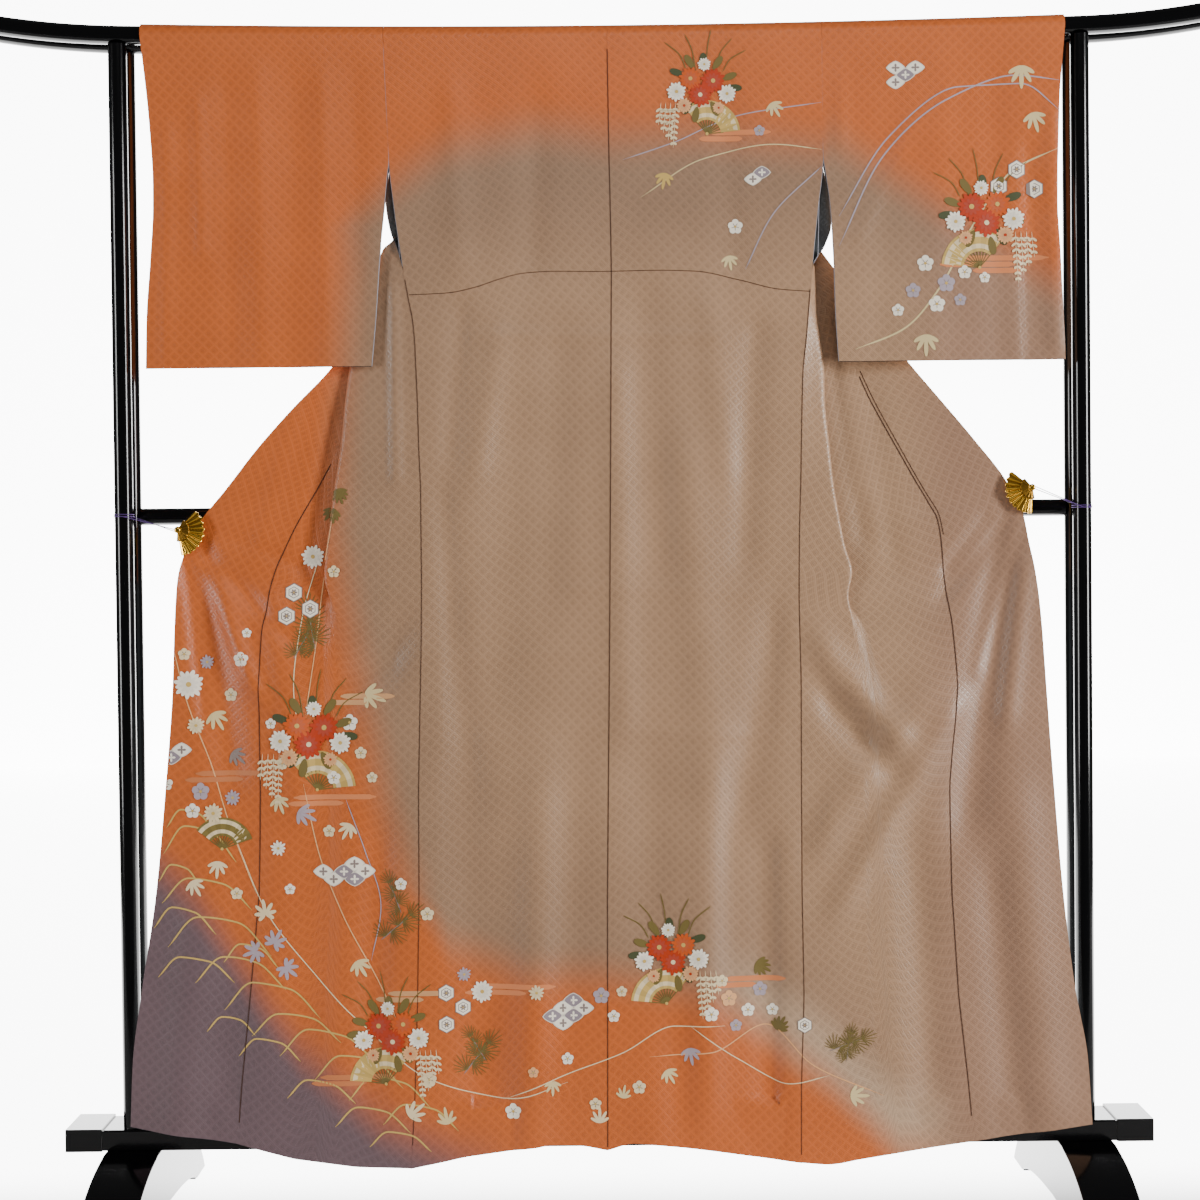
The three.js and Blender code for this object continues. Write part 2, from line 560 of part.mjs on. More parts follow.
// A clip's thread: from its pivot round the back of the front post, and to the pivot again.
function thread(side) {
  const sign = side === "left" ? -1 : 1;
  const clip = CLIPS[side];
  const round = TUBE_RADIUS + THREAD_RADIUS + TOUCH;
  const start = Math.abs(clip.x) + PIVOT_RADIUS + THREAD_RADIUS + TOUCH;
  const points = [new THREE.Vector3(sign * start, clip.y - 2, clip.z + 1)];
  for (let turn = -90; turn <= 90; turn += 30) {
    const x = sign * (POST_X + round * Math.cos(radians(turn)));
    const y = -ARCH_Y + round * Math.sin(radians(turn));
    points.push(new THREE.Vector3(x, y, clip.tied + turn / 60));
  }
  points.push(new THREE.Vector3(sign * start, clip.y + 4, clip.z - 2));
  return rod(new THREE.CatmullRomCurve3(points, false, "centripetal"), THREAD_RADIUS, 32, 8);
}

const group = new THREE.Group();

function add(name, geometry, material, place = [0, 0, 0]) {
  const mesh = new THREE.Mesh(geometry, material);
  mesh.name = name;
  mesh.position.set(...place);
  group.add(mesh);
}

function upright(radius, length) {
  return new THREE.CylinderGeometry(radius, radius, length, 20).rotateX(Math.PI / 2);
}

// Display stand.
for (const [arch, y] of [["front", -ARCH_Y], ["rear", ARCH_Y]]) {
  add("bar_" + arch, rod(new TopBar(), TUBE_RADIUS, 24, 16), BLACK, [0, y, 0]);
  for (const [side, sign] of [["left", -1], ["right", 1]]) {
    const top = BAR_HEIGHT - TUBE_RADIUS - TOUCH;
    const bottom = BEAM.top + TOUCH;
    const place = [sign * POST_X, y, (top + bottom) / 2];
    add("post_" + arch + "_" + side, upright(TUBE_RADIUS, top - bottom), BLACK, place);
  }
}
const crossbarLength = 2 * (POST_X - TUBE_RADIUS - TOUCH);
const crossbar = new THREE.CylinderGeometry(CROSSBAR_RADIUS, CROSSBAR_RADIUS, crossbarLength, 20);
add("crossbar", crossbar.rotateZ(Math.PI / 2), BLACK, [0, ARCH_Y, CROSSBAR_HEIGHT]);
const beamMiddle = (BEAM.top + BEAM.bottom) / 2;
const beam = new THREE.BoxGeometry(2 * BEAM.half, BEAM.depth, BEAM.top - BEAM.bottom);
add("base_beam", beam, BLACK, [0, 0, beamMiddle]);
for (const [side, sign] of [["left", -1], ["right", 1]]) {
  add("foot_" + side, foot(), BLACK, [sign * FOOT.x, 0, BEAM.bottom - TOUCH]);
  for (const [end, turn] of [["front", -1], ["rear", 1]]) {
    const pad = new THREE.BoxGeometry(FOOT.width - 10, PAD.outer - PAD.inner, FOOT.pad - TOUCH);
    const y = (turn * (PAD.outer + PAD.inner)) / 2;
    add("foot_pad_" + end + "_" + side, pad, RUBBER, [sign * FOOT.x, y, (FOOT.pad - TOUCH) / 2]);
  }
}

// Kimono.
for (const side of ["left", "right"]) {
  add("body_" + side, bodyPanel(side), SILK);
  add("okumi_" + side, okumi(side), side === "left" ? ORANGE_SILK : SILK);
  add("sleeve_" + side, sleeve(side), ORANGE_SILK);
}
add("collar", collar(), SILK);

// Clips and their threads.
for (const side of ["left", "right"]) {
  const { x, y, z, aim } = CLIPS[side];
  const jawDepth = y + 10;
  add("clip_fan_" + side, fan(aim), GOLD, [x, y - 3.6, z]);
  add("clip_jaw_" + side, jaw(aim), GOLD, [x, jawDepth, z]);
  const pivot = new THREE.CylinderGeometry(PIVOT_RADIUS, PIVOT_RADIUS, 17, 16);
  add("clip_pivot_" + side, pivot, GOLD, [x, y + 2.6, z]);
  add("thread_" + side, thread(side), THREAD);
}

export default group;
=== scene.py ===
# A silk kimono seen from the back on its double-bar stand. The cloth follows the CAD's panels with
# finer folds, its dyed colours and its flowers; the stand gets its lacquer and the clips their gilt.
# Tables and sizes are in millimetres, as in the CAD, and meshes are made in metres.
import math

import bpy
import numpy as np
from mathutils import Matrix, Vector
from mathutils.bvhtree import BVHTree


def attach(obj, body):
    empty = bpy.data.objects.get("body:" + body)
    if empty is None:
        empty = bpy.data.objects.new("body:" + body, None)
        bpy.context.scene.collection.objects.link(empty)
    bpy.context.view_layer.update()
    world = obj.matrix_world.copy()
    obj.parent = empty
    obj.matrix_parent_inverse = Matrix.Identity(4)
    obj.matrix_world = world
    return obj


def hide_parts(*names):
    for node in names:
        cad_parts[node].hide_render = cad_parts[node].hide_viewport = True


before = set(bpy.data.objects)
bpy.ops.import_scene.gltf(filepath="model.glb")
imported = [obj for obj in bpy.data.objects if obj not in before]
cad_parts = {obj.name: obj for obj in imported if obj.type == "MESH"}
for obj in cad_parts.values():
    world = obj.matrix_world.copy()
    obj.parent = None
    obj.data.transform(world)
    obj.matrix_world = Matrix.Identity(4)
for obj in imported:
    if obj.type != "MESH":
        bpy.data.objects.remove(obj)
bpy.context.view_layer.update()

MM = 0.001
SIGN = {"left": -1, "right": 1}

# ---- Sizes shared with the CAD ----

CLOTH = 1.5
COLLAR_CLOTH = 2.2
TOP_ROW = 1735  # below it the panels hang free of the bar
SIDE_TOP = 1402  # the side seams' upper ends
COLLAR_END = 960
SEAM_GAP = -0.6  # the panels lap a little where they are sewn
SEAM_CALM = 40
LAYER_STEP = 7
NECK = {"left": -84, "right": 96}
CENTRE_COLUMNS = 2
PANEL_COLUMNS = 12
TUBE_RADIUS = 13.5
CROSSBAR_RADIUS = 12.5
POST_X = 700
ARCH_Y = 27
BAR_HEIGHT = 1751.5
BAR_SAG = 9.5
BAR_END = 950
CROSSBAR_HEIGHT = 1052
DRAPE_RADIUS = 16
COLLAR_RADIUS = 18.6
OVER_BAR = [0, 30, 60, 90, 120, 150, 180]
NECK_EDGE = 4

# Height, then distances from X = 0: side seam, outer fold, inner fold, okumi seam, free edge.
FRONTS = {
    "left": np.array([
        (1735, 311.5, 311.5, 84, 84, 84),
        (1690, 309.8, 309.8, 95, 113, 113),
        (1630, 307.4, 307.4, 108, 148, 148),
        (1565, 305, 305, 122, 190, 190),
        (1510, 312, 312, 134, 208, 222),
        (1467, 306, 306, 138, 224, 249),
        (1435, 295, 316, 158, 238, 271),
        (1402, 286, 326, 178, 253, 294),
        (1370, 281, 336, 195, 267, 317),
        (1335, 274, 346, 212, 282, 342),
        (1300, 271, 356, 227, 297, 367),
        (1259, 269.5, 367, 242, 313, 399),
        (1210, 268, 374, 259, 344, 447),
        (1152, 267, 380, 281, 382, 500),
        (1090, 265, 390, 316, 416, 549),
        (1039, 265, 397, 347, 446, 590),
        (997, 265, 403, 370, 467, 612),
        (960, 265, 406, 384, 484, 621),
        (925, 265.5, 395, 405, 489, 624),
        (880, 266, 380, 420, 499, 626),
        (800, 268.5, 365, 430, 503, 629),
        (650, 273, 350, 430, 503, 641.5),
        (500, 274, 350, 430, 507, 657),
        (340, 278, 355, 440, 523, 678.5),
        (210, 283, 360, 450, 537, 693.5),
        (96, 290, 368, 458, 545, 698),
    ]),
    "right": np.array([
        (1735, 323.5, 323.5, 96, 96, 96),
        (1690, 323.5, 323.5, 114, 138, 138),
        (1630, 323.5, 323.5, 132, 180, 180),
        (1565, 324, 324, 150, 226, 226),
        (1510, 333, 333, 167, 250, 264),
        (1467, 336, 336, 175, 269, 294),
        (1435, 326, 326, 176, 284, 317),
        (1402, 307, 311, 177, 300, 341),
        (1370, 304, 312, 184, 316, 366),
        (1335, 301, 313, 191, 333, 393),
        (1300, 298, 318, 202, 350, 420),
        (1259, 293, 323.5, 217, 370, 452),
        (1210, 291, 324, 222, 392, 493),
        (1152, 289.5, 329, 240, 423, 541),
        (1090, 288, 335, 268, 457, 588),
        (1039, 286, 343, 301, 487, 613),
        (997, 285, 351, 319, 494, 621),
        (960, 284.5, 361, 335, 496, 628),
        (925, 284, 355, 345, 500, 633),
        (880, 284.5, 360, 378, 507, 637),
        (800, 286, 362, 400, 513, 642),
        (650, 285, 355, 420, 501, 652),
        (500, 284.5, 355, 425, 502, 663.5),
        (340, 286, 358, 432, 511, 679),
        (210, 281, 360, 442, 524.5, 698),
        (96, 280, 362, 448, 534, 704),
    ]),
}
# Height, the back's left and right side edges, and the centre seam.
BACK = np.array([
    (1750, -311.5, 323.5, 12.6),
    (1565, -305, 324, 14),
    (1500, -299, 317, 15),
    (1402, -286, 307, 15.7),
    (1140, -267, 289.5, 12),
    (863, -266, 284, 7.6),
    (485, -274, 284.5, 0.6),
    (96, -290, 280, -3),
])
BACK_ROWS = [96, 210, 340, 500, 650, 800, 925, 1039, 1152, 1259, 1335, 1402, 1480, 1565, 1650]
# Height, wrist edge and body edge of the left and the right sleeve, and the two layers' depths.
SLEEVES = np.array([
    (1740, 664, 311.9, 676, 323.8, -43, -11),
    (1640, 653, 308.2, 667, 323.8, -43.3, -18),
    (1565, 648, 305.4, 664, 324.4, -44, -23.5),
    (1540, 647, 308, 663, 327.5, -44.6, -28.5),
    (1490, 648, 313, 663, 334, -46, -37),
    (1420, 652, 320, 666, 338, -48, -43.5),
    (1340, 658, 326, 669, 340, -49.5, -46),
    (1265, 660, 333, 672, 344, -50, -47.7),
])
CUFF_BOTTOM = 1535
HEM = np.array([
    (-698, 162), (-653, 153), (-545, 135), (-463, 112), (-371, 99), (-290, 96), (-208, 112), (-67, 131),
    (-3, 120), (41, 131), (148, 118), (240, 104), (312, 94), (451, 116), (534, 128), (704, 151),
])
HEM_LEVEL = 96
HEM_REACH = 500
# Height, then how far forward the back, the side edge, the folds and the free edge hang.
DEPTHS = np.array([
    (1740, -43, -11, -18, -11),
    (1565, -43.7, -23.2, -32, -18),
    (1510, -43.9, -24.5, -35, -20),
    (1467, -44, -30, -37, -22),
    (1435, -44, -37, -37, -24),
    (1402, -44.3, -44.3, -37, -26),
    (1259, -45, -45, -37, -30),
    (1152, -45.5, -45.5, -42, -33),
    (1039, -46, -46, -46, -36),
    (960, -46.4, -46.4, -46.4, -40),
    (850, -46.8, -46.8, -46.8, -44),
    (96, -50, -50, -50, -52),
])
FOLD_FADE = np.array([(960, 1), (925, 0.7), (880, 0.35), (800, 0)])

# ---- Soft folds: a line from one point to another, its reach, and its depth away from the eye ----

FOLDS = [
    (-125, 1145, -160, 800, 45, 6),
    (-292, 860, -378, 785, 32, 9),
    (-590, 985, -548, 700, 28, 9),
    (-420, 620, -445, 250, 40, 5),
    (585, 985, 530, 620, 30, 9),
    (315, 845, 408, 736, 26, -8),
    (335, 765, 390, 700, 26, 8),
    (308, 575, 452, 749, 30, -8),
    (190, 560, 215, 230, 45, 5),
    # Smaller ones that the CAD leaves out.
    (338, 1310, 378, 1020, 12, 5),
    (352, 1250, 372, 1090, 9, -3),
    (396, 1200, 420, 1000, 16, 3),
    (-392, 1180, -436, 980, 14, 4),
    (-452, 1190, -500, 1010, 14, -3),
    (-298, 1370, -299, 1110, 9, -5.1),
    (-205, 1330, -222, 1150, 18, 3.4),
    (-62, 1260, -80, 960, 30, 4.2),
    (-238, 1060, -205, 720, 24, 5.1),
    (62, 1330, 78, 1000, 30, 3.7),
    (125, 1110, 150, 720, 34, -5.1),
    (222, 1290, 205, 1000, 22, 4.2),
    (248, 880, 205, 640, 28, 5.1),
    (-40, 700, -62, 300, 36, 4.2),
    (90, 500, 72, 160, 34, -4.2),
    (-150, 500, -172, 140, 40, 5.1),
    (350, 493, 495, 741, 22, -6.8),
    (450, 540, 472, 200, 28, 5.1),
    (602, 600, 640, 200, 34, -5.1),
    (562, 500, 592, 150, 26, 5.1),
    (-480, 900, -445, 640, 24, -5.1),
    (-520, 560, -562, 200, 32, 5.1),
    (-602, 450, -632, 150, 30, -5.1),
    (-332, 560, -352, 200, 26, 6),
    (-560, 960, -520, 820, 16, -5.1),
    (554, 1032, 504, 966, 9, 5.1),
    (610, 960, 585, 760, 16, -5.1),
    (-600, 1020, -470, 880, 12, 4),
    (-604, 1010, -500, 790, 11, -3.5),
    (-612, 1000, -585, 760, 9, 3.5),
    (-590, 1040, -450, 980, 10, 3),
    (610, 1062, 500, 930, 12, 4),
    (606, 1050, 545, 820, 11, -4),
    (600, 1078, 468, 1050, 10, 3),
    (-205, 640, -190, 180, 36, 6),
    (-96, 620, -112, 160, 30, -5),
    (60, 660, 96, 220, 38, 6),
    (150, 640, 140, 200, 26, -5),
    (232, 540, 236, 150, 24, 5),
    (20, 1240, 28, 760, 22, -4),
    (-185, 1308, 205, 1304, 8, -1.2),
    (-40, 940, 262, 930, 8, -1.4),
    (-250, 838, -60, 846, 8, -1.2),
    (-60, 736, 258, 722, 8, -1.4),
    (-245, 712, -90, 724, 8, -1.3),
    (-150, 1290, -180, 1130, 20, -3.5),
    (160, 1330, 176, 1130, 22, -3),
    (-90, 1620, -100, 1430, 22, 2.5),
    (180, 1640, 190, 1430, 24, 2.5),
    (-210, 1640, -205, 1430, 22, -2.5),
]
SLEEVE_FOLDS = [
    (-581, 1640, -577, 1440, 9, -3.2),
    (-495, 1700, -490, 1290, 15, -2.6),
    (-540, 1690, -535, 1290, 16, 2.6),
    (-442, 1700, -446, 1280, 20, 2.1),
    (-400, 1690, -398, 1280, 13, -2.6),
    (-355, 1690, -350, 1300, 15, 2.1),
    (-626, 1600, -629, 1290, 10, -2.6),
    (352, 1730, 350, 1590, 9, -2.6),
    (655, 1620, 660, 1290, 9, -3.7),
    (622, 1560, 632, 1290, 12, 3.2),
    (615, 1400, 618, 1265, 8, 3.2),
    (430, 1700, 402, 1300, 22, 2.1),
    (500, 1700, 482, 1290, 22, -2.1),
    (572, 1650, 576, 1280, 20, 2.1),
    (439, 1571, 375, 1447, 7, -2.1),
]

# ---- Curves and grids ----


def read(table, column, at):
    """A table's column at any height, read straight between its rows, which run downwards."""
    return np.interp(at, table[::-1, 0], table[::-1, column])


def glide(points, stations):
    """Points along the first axis at fractional places, on a curve with no overshoot."""
    slopes = np.diff(points, axis=0)
    total = slopes[:-1] + slopes[1:]
    same = slopes[:-1] * slopes[1:] > 0
    tangents = np.zeros_like(points)
    tangents[1:-1] = np.where(same, 2 * slopes[:-1] * slopes[1:] / np.where(same, total, 1), 0)
    tangents[0] = slopes[0]
    tangents[-1] = slopes[-1]
    low = np.minimum(stations.astype(int), len(points) - 2)
    t = (stations - low).reshape((-1,) + (1,) * (points.ndim - 1))
    start = points[low] * (1 + 2 * t) * (1 - t) ** 2 + tangents[low] * t * (1 - t) ** 2
    end = points[low + 1] * t * t * (3 - 2 * t) + tangents[low + 1] * t * t * (t - 1)
    return start + end


def stations_for(points, step):
    """Fractional places that cut the longest line between neighbouring points into such steps."""
    gaps = np.linalg.norm(np.diff(points, axis=0), axis=-1)
    widest = gaps.reshape(len(gaps), -1).max(axis=1)
    places = []
    for i, gap in enumerate(widest):
        count = max(1, math.ceil(gap / step))
        places.extend(i + np.arange(count) / count)
    return np.array(places + [len(points) - 1])


def refine(grid, step, absent=None):
    """The grid with rows and columns added, and the places of its absent cells."""
    rows = stations_for(grid, step)
    columns = stations_for(grid.swapaxes(0, 1), step)
    fine = glide(glide(grid, rows).swapaxes(0, 1), columns).swapaxes(0, 1)
    if absent is None:
        return fine, np.zeros((len(rows) - 1, len(columns) - 1), bool)
    return fine, absent[np.ix_(rows[:-1].astype(int), columns[:-1].astype(int))]


def soft(distance, reach):
    """Rises smoothly from 0 to 1 as distance goes from -reach to reach."""
    t = np.clip(distance / (2 * reach) + 0.5, 0, 1)
    return t * t * (3 - 2 * t)


def fold_depth(folds, x, z):
    total = np.zeros_like(x)
    for x1, z1, x2, z2, reach, depth in folds:
        length = math.hypot(x2 - x1, z2 - z1)
        along = ((x - x1) * (x2 - x1) + (z - z1) * (z2 - z1)) / length
        across = ((x - x1) * (z2 - z1) - (z - z1) * (x2 - x1)) / length
        past = np.maximum(np.maximum(-along, along - length), 0)
        total += depth * np.exp(-((across / reach) ** 2) - (past / (2 * reach)) ** 2)
    return total


def bar_height(x):
    past = abs(x) - POST_X
    if past <= 0:
        return BAR_HEIGHT - BAR_SAG * (1 - (x / POST_X) ** 2)
    return BAR_HEIGHT + 0.027 * past + 3.8e-4 * past * past


def over_bar(x, angle, radius=DRAPE_RADIUS):
    turn = math.radians(angle)
    return (x, -ARCH_Y - radius * math.cos(turn), bar_height(x) + radius * math.sin(turn))


def hem_rise(x, z):
    share = np.clip((HEM_REACH - z) / (HEM_REACH - HEM_LEVEL), 0, 1)
    return share * (np.interp(x, HEM[:, 0], HEM[:, 1]) - HEM_LEVEL)


# ---- Panels as in the CAD ----


def spaced(start, end, shares=(0.35, 0.7, 1)):
    """Values at these shares of the way from start to end."""
    return [start + (end - start) * share for share in shares]


def front_point(side, row, column):
    """A point of a front's middle surface; column counts from the side edge to the okumi seam."""
    z, s, f, b, k = row[:5]
    back, at_side, at_fold = (read(DEPTHS, i, z) for i in (1, 2, 3))
    step = LAYER_STEP * read(FOLD_FADE, 1, z)
    if z >= TOP_ROW:
        x = s + (b - s) * column / PANEL_COLUMNS
        y = at_side
    elif f <= s:
        bend = min(step / 2, (k - b) / 3)
        near, inner = s - 44, b + bend
        xs = [s, s - 8, s - 18, s - 30, near, *spaced(near, inner), b, inner, *spaced(inner, k)]
        x = xs[column]
        y = at_side + (0, 0, 0, 0, 0, 0, 0, 0, 0.5, 1, 1, 1, 1)[column] * 2 * bend
    elif f > b:
        near, inner = f - min(step / 2, (f - s) / 2), b + step / 2
        xs = [s, (s + near) / 2, near, f, near, *spaced(near, inner, (0.33, 0.67, 1))]
        xs += [b, inner, *spaced(inner, k)]
        x = xs[column]
        start = (at_side, (at_side + at_fold) / 2)[column] if column < 2 else at_fold
        y = start + (0, 0, 0, 0.25, 0.5, 0.5, 0.5, 0.5, 0.75, 1, 1, 1, 1)[column] * 2 * step
    else:
        xs = [s, (s + f) / 2] + [f + (b - f) * i / 7 for i in range(8)] + spaced(b, k)
        x = xs[column]
        y = back + float(soft(x - (f + b) / 2, max((b - f) / 2, 1))) * 2 * step
    x *= SIGN[side]
    return (x, y, z + float(hem_rise(x, z)))


def okumi_point(side, row, share):
    start = front_point(side, row, PANEL_COLUMNS)
    x = SIGN[side] * (row[4] + (row[5] - row[4]) * share)
    y = start[1] + (float(read(DEPTHS, 4, row[0])) - start[1]) * share
    return (x, y, row[0] + float(hem_rise(x, row[0])))


def body_grid(side):
    """A body panel from the back hem over the bar to the front hem, and its absent neck cells."""
    sign = SIGN[side]
    edge = 1 if side == "left" else 2
    columns = CENTRE_COLUMNS + PANEL_COLUMNS
    neck_share = (NECK[side] - BACK[0, 3]) / (BACK[0, edge] - BACK[0, 3])
    shares = list(np.linspace(0, neck_share, CENTRE_COLUMNS, endpoint=False))
    shares += list(np.linspace(neck_share, 1, PANEL_COLUMNS + 1))

    def back_x(z, share):
        centre = read(BACK, 3, z) + sign * SEAM_GAP / 2
        return centre + (read(BACK, edge, z) - centre) * share

    grid = []
    for z in BACK_ROWS:
        xs = [back_x(z, share) for share in shares]
        grid.append([(x, read(DEPTHS, 1, z), z + float(hem_rise(x, z))) for x in xs])
    first = len(grid)
    for angle in OVER_BAR:
        grid.append([over_bar(back_x(BAR_HEIGHT, share), angle) for share in shares])
    for row in FRONTS[side][1:]:
        turns = [columns - max(c, CENTRE_COLUMNS) for c in range(columns + 1)]
        grid.append([front_point(side, row, column) for column in turns])
    grid = np.array(grid)
    absent = np.zeros((len(grid) - 1, columns), bool)
    absent[first + NECK_EDGE :, :CENTRE_COLUMNS] = True
    if side == "left":
        return grid[:, ::-1], absent[:, ::-1]
    return grid, absent


def okumi_grid(side):
    rows = [row for row in FRONTS[side] if row[0] <= 1530]
    grid = np.array([[okumi_point(side, row, c / 4) for c in range(5)] for row in rows])[::-1]
    return grid[:, ::-1] if side == "left" else grid


def rear_depth(side, x, z):
    at = min(z, TOP_ROW)
    row = [at] + [float(read(FRONTS[side], i, at)) for i in range(1, 6)]
    share = min(max((x - row[4]) / max(row[5] - row[4], 1), 0), 1)
    return okumi_point(side, row, share)[1]


def collar_grid():
    """The collar behind the free front edges and round the back neck."""
    lengths = (0, 14, 27, 41, 55)
    behind = 4.7

    def half(side):
        table = [row for row in FRONTS[side] if COLLAR_END <= row[0] < TOP_ROW]
        lines = []
        for i, row in enumerate(table):
            above = table[i - 1] if i else (TOP_ROW, 0, 0, 0, 0, abs(NECK[side]))
            below = table[min(i + 1, len(table) - 1)]
            slope = Vector((below[5] - above[5], below[0] - above[0])).normalized()
            line = []
            for length in lengths:
                x = row[5] - 1.2 + slope.y * length
                z = row[0] - slope.x * length
                line.append((SIGN[side] * x, rear_depth(side, x, z) + behind, z))
            lines.append(line)
        return lines

    def hung(x, angles, drops, lean):
        low = over_bar(x, 180, COLLAR_RADIUS)
        line = [over_bar(x, angle, COLLAR_RADIUS) for angle in angles]
        return line + [(low[0] - lean * drop, low[1], low[2] - drop) for drop in drops]

    def turn(side):
        sign = SIGN[side]
        near = hung(NECK[side] - sign * 11, (150, 168), (0, 20, 42), sign * 0.38)
        far = hung(NECK[side] - sign * 2.5, (172,), (8, 21, 34, 48), sign * 0.4)
        return [far, near] if side == "left" else [near, far]

    neck = []
    for i in range(5):
        x = NECK["left"] + 26 + (NECK["right"] - NECK["left"] - 52) * i / 4
        neck.append(hung(x, (124, 150), (0, 18, 36), -0.12 + 0.06 * i))
    return np.array(half("left")[::-1] + turn("left") + neck + turn("right") + half("right"))


def sleeve_grid(side):
    sign = SIGN[side]
    outer, inner = (1, 2) if side == "left" else (3, 4)
    shares = np.linspace(0, 1, 7)

    def layer(row, depth, apart):
        points = []
        for share in shares:
            x = sign * (row[inner] + (row[outer] - row[inner]) * share)
            pinch = max(0, share * 3 - 2) if row[0] < CUFF_BOTTOM else 0
            y = row[depth] + ((row[5] + row[6]) / 2 + apart - row[depth]) * pinch
            points.append((x, y, row[0]))
        return points

    grid = [layer(row, 5, -1.15) for row in SLEEVES[:0:-1]]
    top = SLEEVES[0]
    xs = sign * (top[inner] + (top[outer] - top[inner]) * shares)
    for angle in OVER_BAR:
        grid.append([over_bar(x, angle) for x in xs])
    grid += [layer(row, 6, 1.15) for row in SLEEVES[1:]]
    grid = np.array(grid)
    return grid[:, ::-1] if side == "left" else grid


FOLD_GAIN = 1.25  # how much deeper the silk's folds are than the table's
BEAM_REACH, BEAM_TOP, BEAM_CLEAR = 800, 190, -47.4


def crease_body(grid, side):
    """Moves a body, okumi or collar grid's points into the body's soft folds."""
    x, z = grid[..., 0], grid[..., 2]
    reach = np.abs(np.abs(x) - read(FRONTS[side], 1, z))
    calm = np.minimum(1, reach / SEAM_CALM)
    behind = grid[..., 1] > read(DEPTHS, 1, z) + 5
    share = np.where(behind, 0.6 + 0.4 * soft(990 - z, 50), soft(1720 - z, 60))
    grid[..., 1] += FOLD_GAIN * fold_depth(FOLDS, x, z) * calm * share
    # The skirt stays clear of the beam behind it.
    over_beam = (z < BEAM_TOP) & (np.abs(x) < BEAM_REACH)
    grid[..., 1] = np.where(over_beam, np.minimum(grid[..., 1], BEAM_CLEAR), grid[..., 1])


def meet_at_side(grid, side):
    """Brings the back's and the front's edges together along the side seam."""
    edge = 0 if side == "left" else -1
    weights = np.clip(1 - np.arange(grid.shape[1]) / 6, 0, 1)
    if side == "right":
        weights = weights[::-1]
    z = grid[:, edge, 2]
    lap = np.where(np.arange(len(grid)) > len(grid) / 2, -0.5, 0.5)
    target = SIGN[side] * (read(FRONTS[side], 1, z) + lap)
    shift = np.where(z < SIDE_TOP, target - grid[:, edge, 0], 0)
    grid[:, :, 0] += shift[:, None] * weights


def crease_sleeve(grid):
    x, z = grid[..., 0], grid[..., 2]
    grid[..., 1] += fold_depth(SLEEVE_FOLDS, x, z) * soft(1690 - z, 50)


# ---- Colours ----


def linear(code):
    """Linear light values of a colour given as six hexadecimal digits."""
    values = np.array([int(code[i : i + 2], 16) for i in (0, 2, 4)]) / 255
    return np.where(values <= 0.04045, values / 12.92, ((values + 0.055) / 1.055) ** 2.4)


ORANGE = linear("c16027")
TAUPE = linear("a68263")
TAUPE_DARK = linear("8a6b53")
TAUPE_BROWN = linear("95705a")
PALE = linear("d2b596")
PURPLE = linear("675357")
# The lining's slate grey, darkened to the look of the narrow gaps: partly its own colour, partly
# painted shade.
LINING_IN_PAINTED_SHADE = linear("373c3f")
PIPING = linear("96949c")
SLATE = linear("2c3136")
SEAM = linear("4a342c")

# Where the dyes meet. Orange lies above SHOULDER_LINE, below HEM_LINE and outside LEFT_LINE, and
# purple below CORNER_LINE.
SHOULDER_LINE = np.array([
    (-720, 985), (-522, 1255), (-352, 1480), (-305, 1525), (-219, 1581), (-87, 1609), (11, 1593),
    (147, 1599), (322, 1575), (336, 1590), (670, 1367),
])
LEFT_LINE = np.array([(516, -288), (633, -323), (852, -365), (1027, -392), (1250, -378), (1400, -362)])
HEM_LINE = np.array([
    (-288, 516), (-231, 420), (-114, 375), (-12, 375), (134, 351), (221, 292), (322, 216), (423, 114),
])
CORNER_LINE = np.array([(-653, 549), (-595, 490), (-523, 372), (-451, 269), (-336, 166), (-219, 114)])


def blend(start, end, share):
    return start + (end - start) * share[..., None]


def dyed(x, z):
    """The outer silk's colour at each place."""
    taupe = blend(TAUPE, TAUPE_DARK, soft(z - 1440, 90) * 0.8)
    taupe = blend(taupe, TAUPE_BROWN, soft(x - 470, 60) * 0.7)
    past_left = x - np.interp(z, LEFT_LINE[:, 0], LEFT_LINE[:, 1])
    past_hem = z - np.interp(x, HEM_LINE[:, 0], HEM_LINE[:, 1])
    shade = np.maximum(soft(130 - past_left, 120), soft(150 - past_hem, 140) * soft(420 - x, 80))
    taupe = blend(taupe, TAUPE_DARK, shade * soft(1480 - z, 90) * 0.6)
    halo = soft(past_hem + 40, 30) * soft(85 - past_hem, 45) * soft(x - 180, 60) * soft(470 - x, 60)
    taupe = blend(taupe, PALE, halo * 0.42)
    shoulder = soft(z - np.interp(x, SHOULDER_LINE[:, 0], SHOULDER_LINE[:, 1]), 55)
    left = soft(-past_left, 46)
    hem = soft(-past_hem, 52) * soft(460 - x, 60)
    colour = blend(taupe, ORANGE, np.maximum(np.maximum(shoulder, left), hem))
    corner = soft(np.interp(x, CORNER_LINE[:, 0], CORNER_LINE[:, 1]) - z, 60) * soft(-180 - x, 60)
    return blend(colour, PURPLE, corner)


# ---- Materials ----


